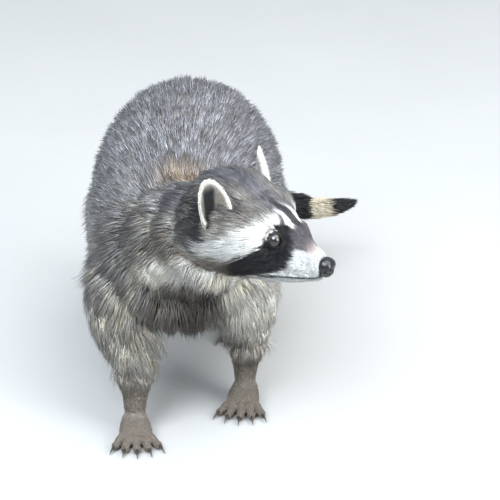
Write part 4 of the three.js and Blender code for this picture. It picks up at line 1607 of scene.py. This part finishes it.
def ear_tufts(sign, fullness, rng):
    """One ear's tufts: their points, colours and places on the unwrap. They lie up and out over the leaf."""
    points, triangles, local = ear_leaf(sign)
    front = ramp(0.1, -0.1, local[:, 2])
    wanted = mix(3.2, mix(0.9, 3.4, ramp(0.5, 0.8, ear_rim(local))), front) * ramp(-1.0, -0.9, local[:, 1])
    face, weights = sown(points, triangles, wanted * fullness, rng)
    corners = triangles[face]
    roots, spot = blended(points, corners, weights), blended(local, corners, weights)
    normal = unit(blended(normals_of(points, triangles), corners, weights))
    out, _, up = (HEAD_TURN @ ear_turn(sign)).T
    lie = up + (spot[:, :1] * 0.6) * out
    lie = unit(lie - normal * dot(lie, normal))
    run = mix(3.4, 5.5, ramp(0.2, -0.8, spot[:, 1])) * rng.uniform(0.7, 1.2, len(roots))
    width = rng.uniform(0.3, 0.5, len(roots))
    none = np.zeros(len(roots))
    made, lock = tufts(roots, normal, lie, run, none + 1.1, width, none, none, rng, 0.3)
    colours = tuft_colours(ear_colours(spot), none + 0.25, lock, rng)
    # the front and the back lie side by side on the unwrap, and the right ear below the left
    across = 0.25 + 0.22 * spot[:, 0] + 0.5 * (spot[:, 2] < 0)
    high = (0.5 + 0.24 * spot[:, 1] * sign + (sign > 0)) / 2
    return made, colours, np.stack([across, high], -1)


class RACCOON_OT_ear_coat(bpy.types.Operator):
    """Short tufts on the ears, lying towards their tips"""

    bl_idname = "raccoon.ear_coat"
    bl_label = "Coat of the ears"

    def execute(self, context):
        rng = np.random.default_rng(context.scene.raccoon_coat.seed)
        parts = [ear_tufts(sign, context.scene.raccoon_coat.fullness, rng) for sign in (-1, 1)]
        coat_piece("coat_ears", "ear_coat", *(np.concatenate(kind) for kind in zip(*parts)))
        return {"FINISHED"}


# Half the floor's width in millimetres and the lines of its grid, and what the camera and lights point at
FLOOR_HALF, FLOOR_LINES = 30000, 41
VIEW_CENTRE = np.array([68.0, 0.0, 141.4])
# Each area light: its place from there in metres, its size and its colour
LIGHTS = {
    "key": ((0.7, -0.6, 2.3), 2.6, (0.97, 0.99, 1.0)),
    "fill": ((1.9, -1.7, 1.0), 1.4, (0.96, 0.98, 1.0)),
    "glint": ((-0.9, -1.5, 1.8), 1.4, (0.85, 0.92, 1.0)),
}


class RACCOON_OT_stage(bpy.types.Operator):
    """The floor, the soft lights and the camera"""

    bl_idname = "raccoon.stage"
    bl_label = "Stage"

    def execute(self, context):
        scene, settings = context.scene, context.scene.raccoon_stage
        line = np.linspace(-FLOOR_HALF, FLOOR_HALF, FLOOR_LINES)
        across, along = np.meshgrid(line, line, indexing="ij")
        points = np.stack([across, along, np.zeros_like(across)], -1).reshape(-1, 3)
        index = np.arange(FLOOR_LINES**2).reshape(FLOOR_LINES, FLOOR_LINES)
        quads = np.stack([index[:-1, :-1], index[1:, :-1], index[1:, 1:], index[:-1, 1:]], -1).reshape(-1, 4)
        floor = bpy.data.objects.new("floor", mesh_of("floor", points, quads))
        floor.data.materials.append(floor_finish())
        scene.collection.objects.link(floor)

        aim = Vector(place(VIEW_CENTRE))
        for name, (spot, size, colour) in LIGHTS.items():
            light = bpy.data.objects.new(name, bpy.data.lights.new(name, "AREA"))
            light.data.energy = getattr(settings, name + "_power")
            light.data.size, light.data.color = size, colour
            light.location = aim + Vector(spot)
            light.rotation_euler = (aim - light.location).to_track_quat("-Z", "Y").to_euler()
            scene.collection.objects.link(light)
        world = bpy.data.worlds.new("Studio")
        world.use_nodes = True
        sky = world.node_tree.nodes["Background"].inputs
        sky["Color"].default_value, sky["Strength"].default_value = (*settings.sky, 1), settings.sky_strength
        scene.world = world
        scene.view_settings.view_transform = "Standard"

        camera = bpy.data.objects.new("camera", bpy.data.cameras.new("camera"))
        camera.data.lens = settings.lens
        back = Vector((0, -np.cos(settings.elevation), np.sin(settings.elevation)))
        camera.location = aim + back * settings.distance
        camera.rotation_euler = (-back).to_track_quat("-Z", "Y").to_euler()
        scene.collection.objects.link(camera)
        scene.camera = camera
        return {"FINISHED"}


class RACCOON_PT_panel(bpy.types.Panel):
    """Lists the settings and the steps that build the raccoon"""

    bl_label = "Raccoon"
    bl_idname = "RACCOON_PT_panel"
    bl_space_type = "VIEW_3D"
    bl_region_type = "UI"
    bl_category = "Raccoon"

    def draw(self, context):
        for title, group, names in (
            ("Coat", context.scene.raccoon_coat, ("fullness", "clumping", "seed")),
            ("Stage", context.scene.raccoon_stage,
             ("distance", "elevation", "lens", "key_power", "fill_power", "glint_power", "sky",
              "sky_strength")),
        ):
            box = self.layout.box()
            box.label(text=title)
            for name in names:
                box.prop(group, name)
        for step in STEPS:
            self.layout.operator(step.bl_idname)


STEPS = (
    RACCOON_OT_stage, RACCOON_OT_skin, RACCOON_OT_eyes, RACCOON_OT_nose, RACCOON_OT_claws,
    RACCOON_OT_trunk_coat, RACCOON_OT_head_coat, RACCOON_OT_leg_coat, RACCOON_OT_ear_coat,
)
CLASSES = (RaccoonCoatSettings, RaccoonStageSettings, *STEPS, RACCOON_PT_panel)


def register():
    for kind in CLASSES:
        bpy.utils.register_class(kind)
    bpy.types.Scene.raccoon_coat = bpy.props.PointerProperty(type=RaccoonCoatSettings)
    bpy.types.Scene.raccoon_stage = bpy.props.PointerProperty(type=RaccoonStageSettings)


def unregister():
    del bpy.types.Scene.raccoon_stage
    del bpy.types.Scene.raccoon_coat
    for kind in reversed(CLASSES):
        bpy.utils.unregister_class(kind)


def main():
    register()
    for step in STEPS:
        getattr(bpy.ops.raccoon, step.bl_idname.split(".")[1])()


if __name__ == "__main__":
    main()
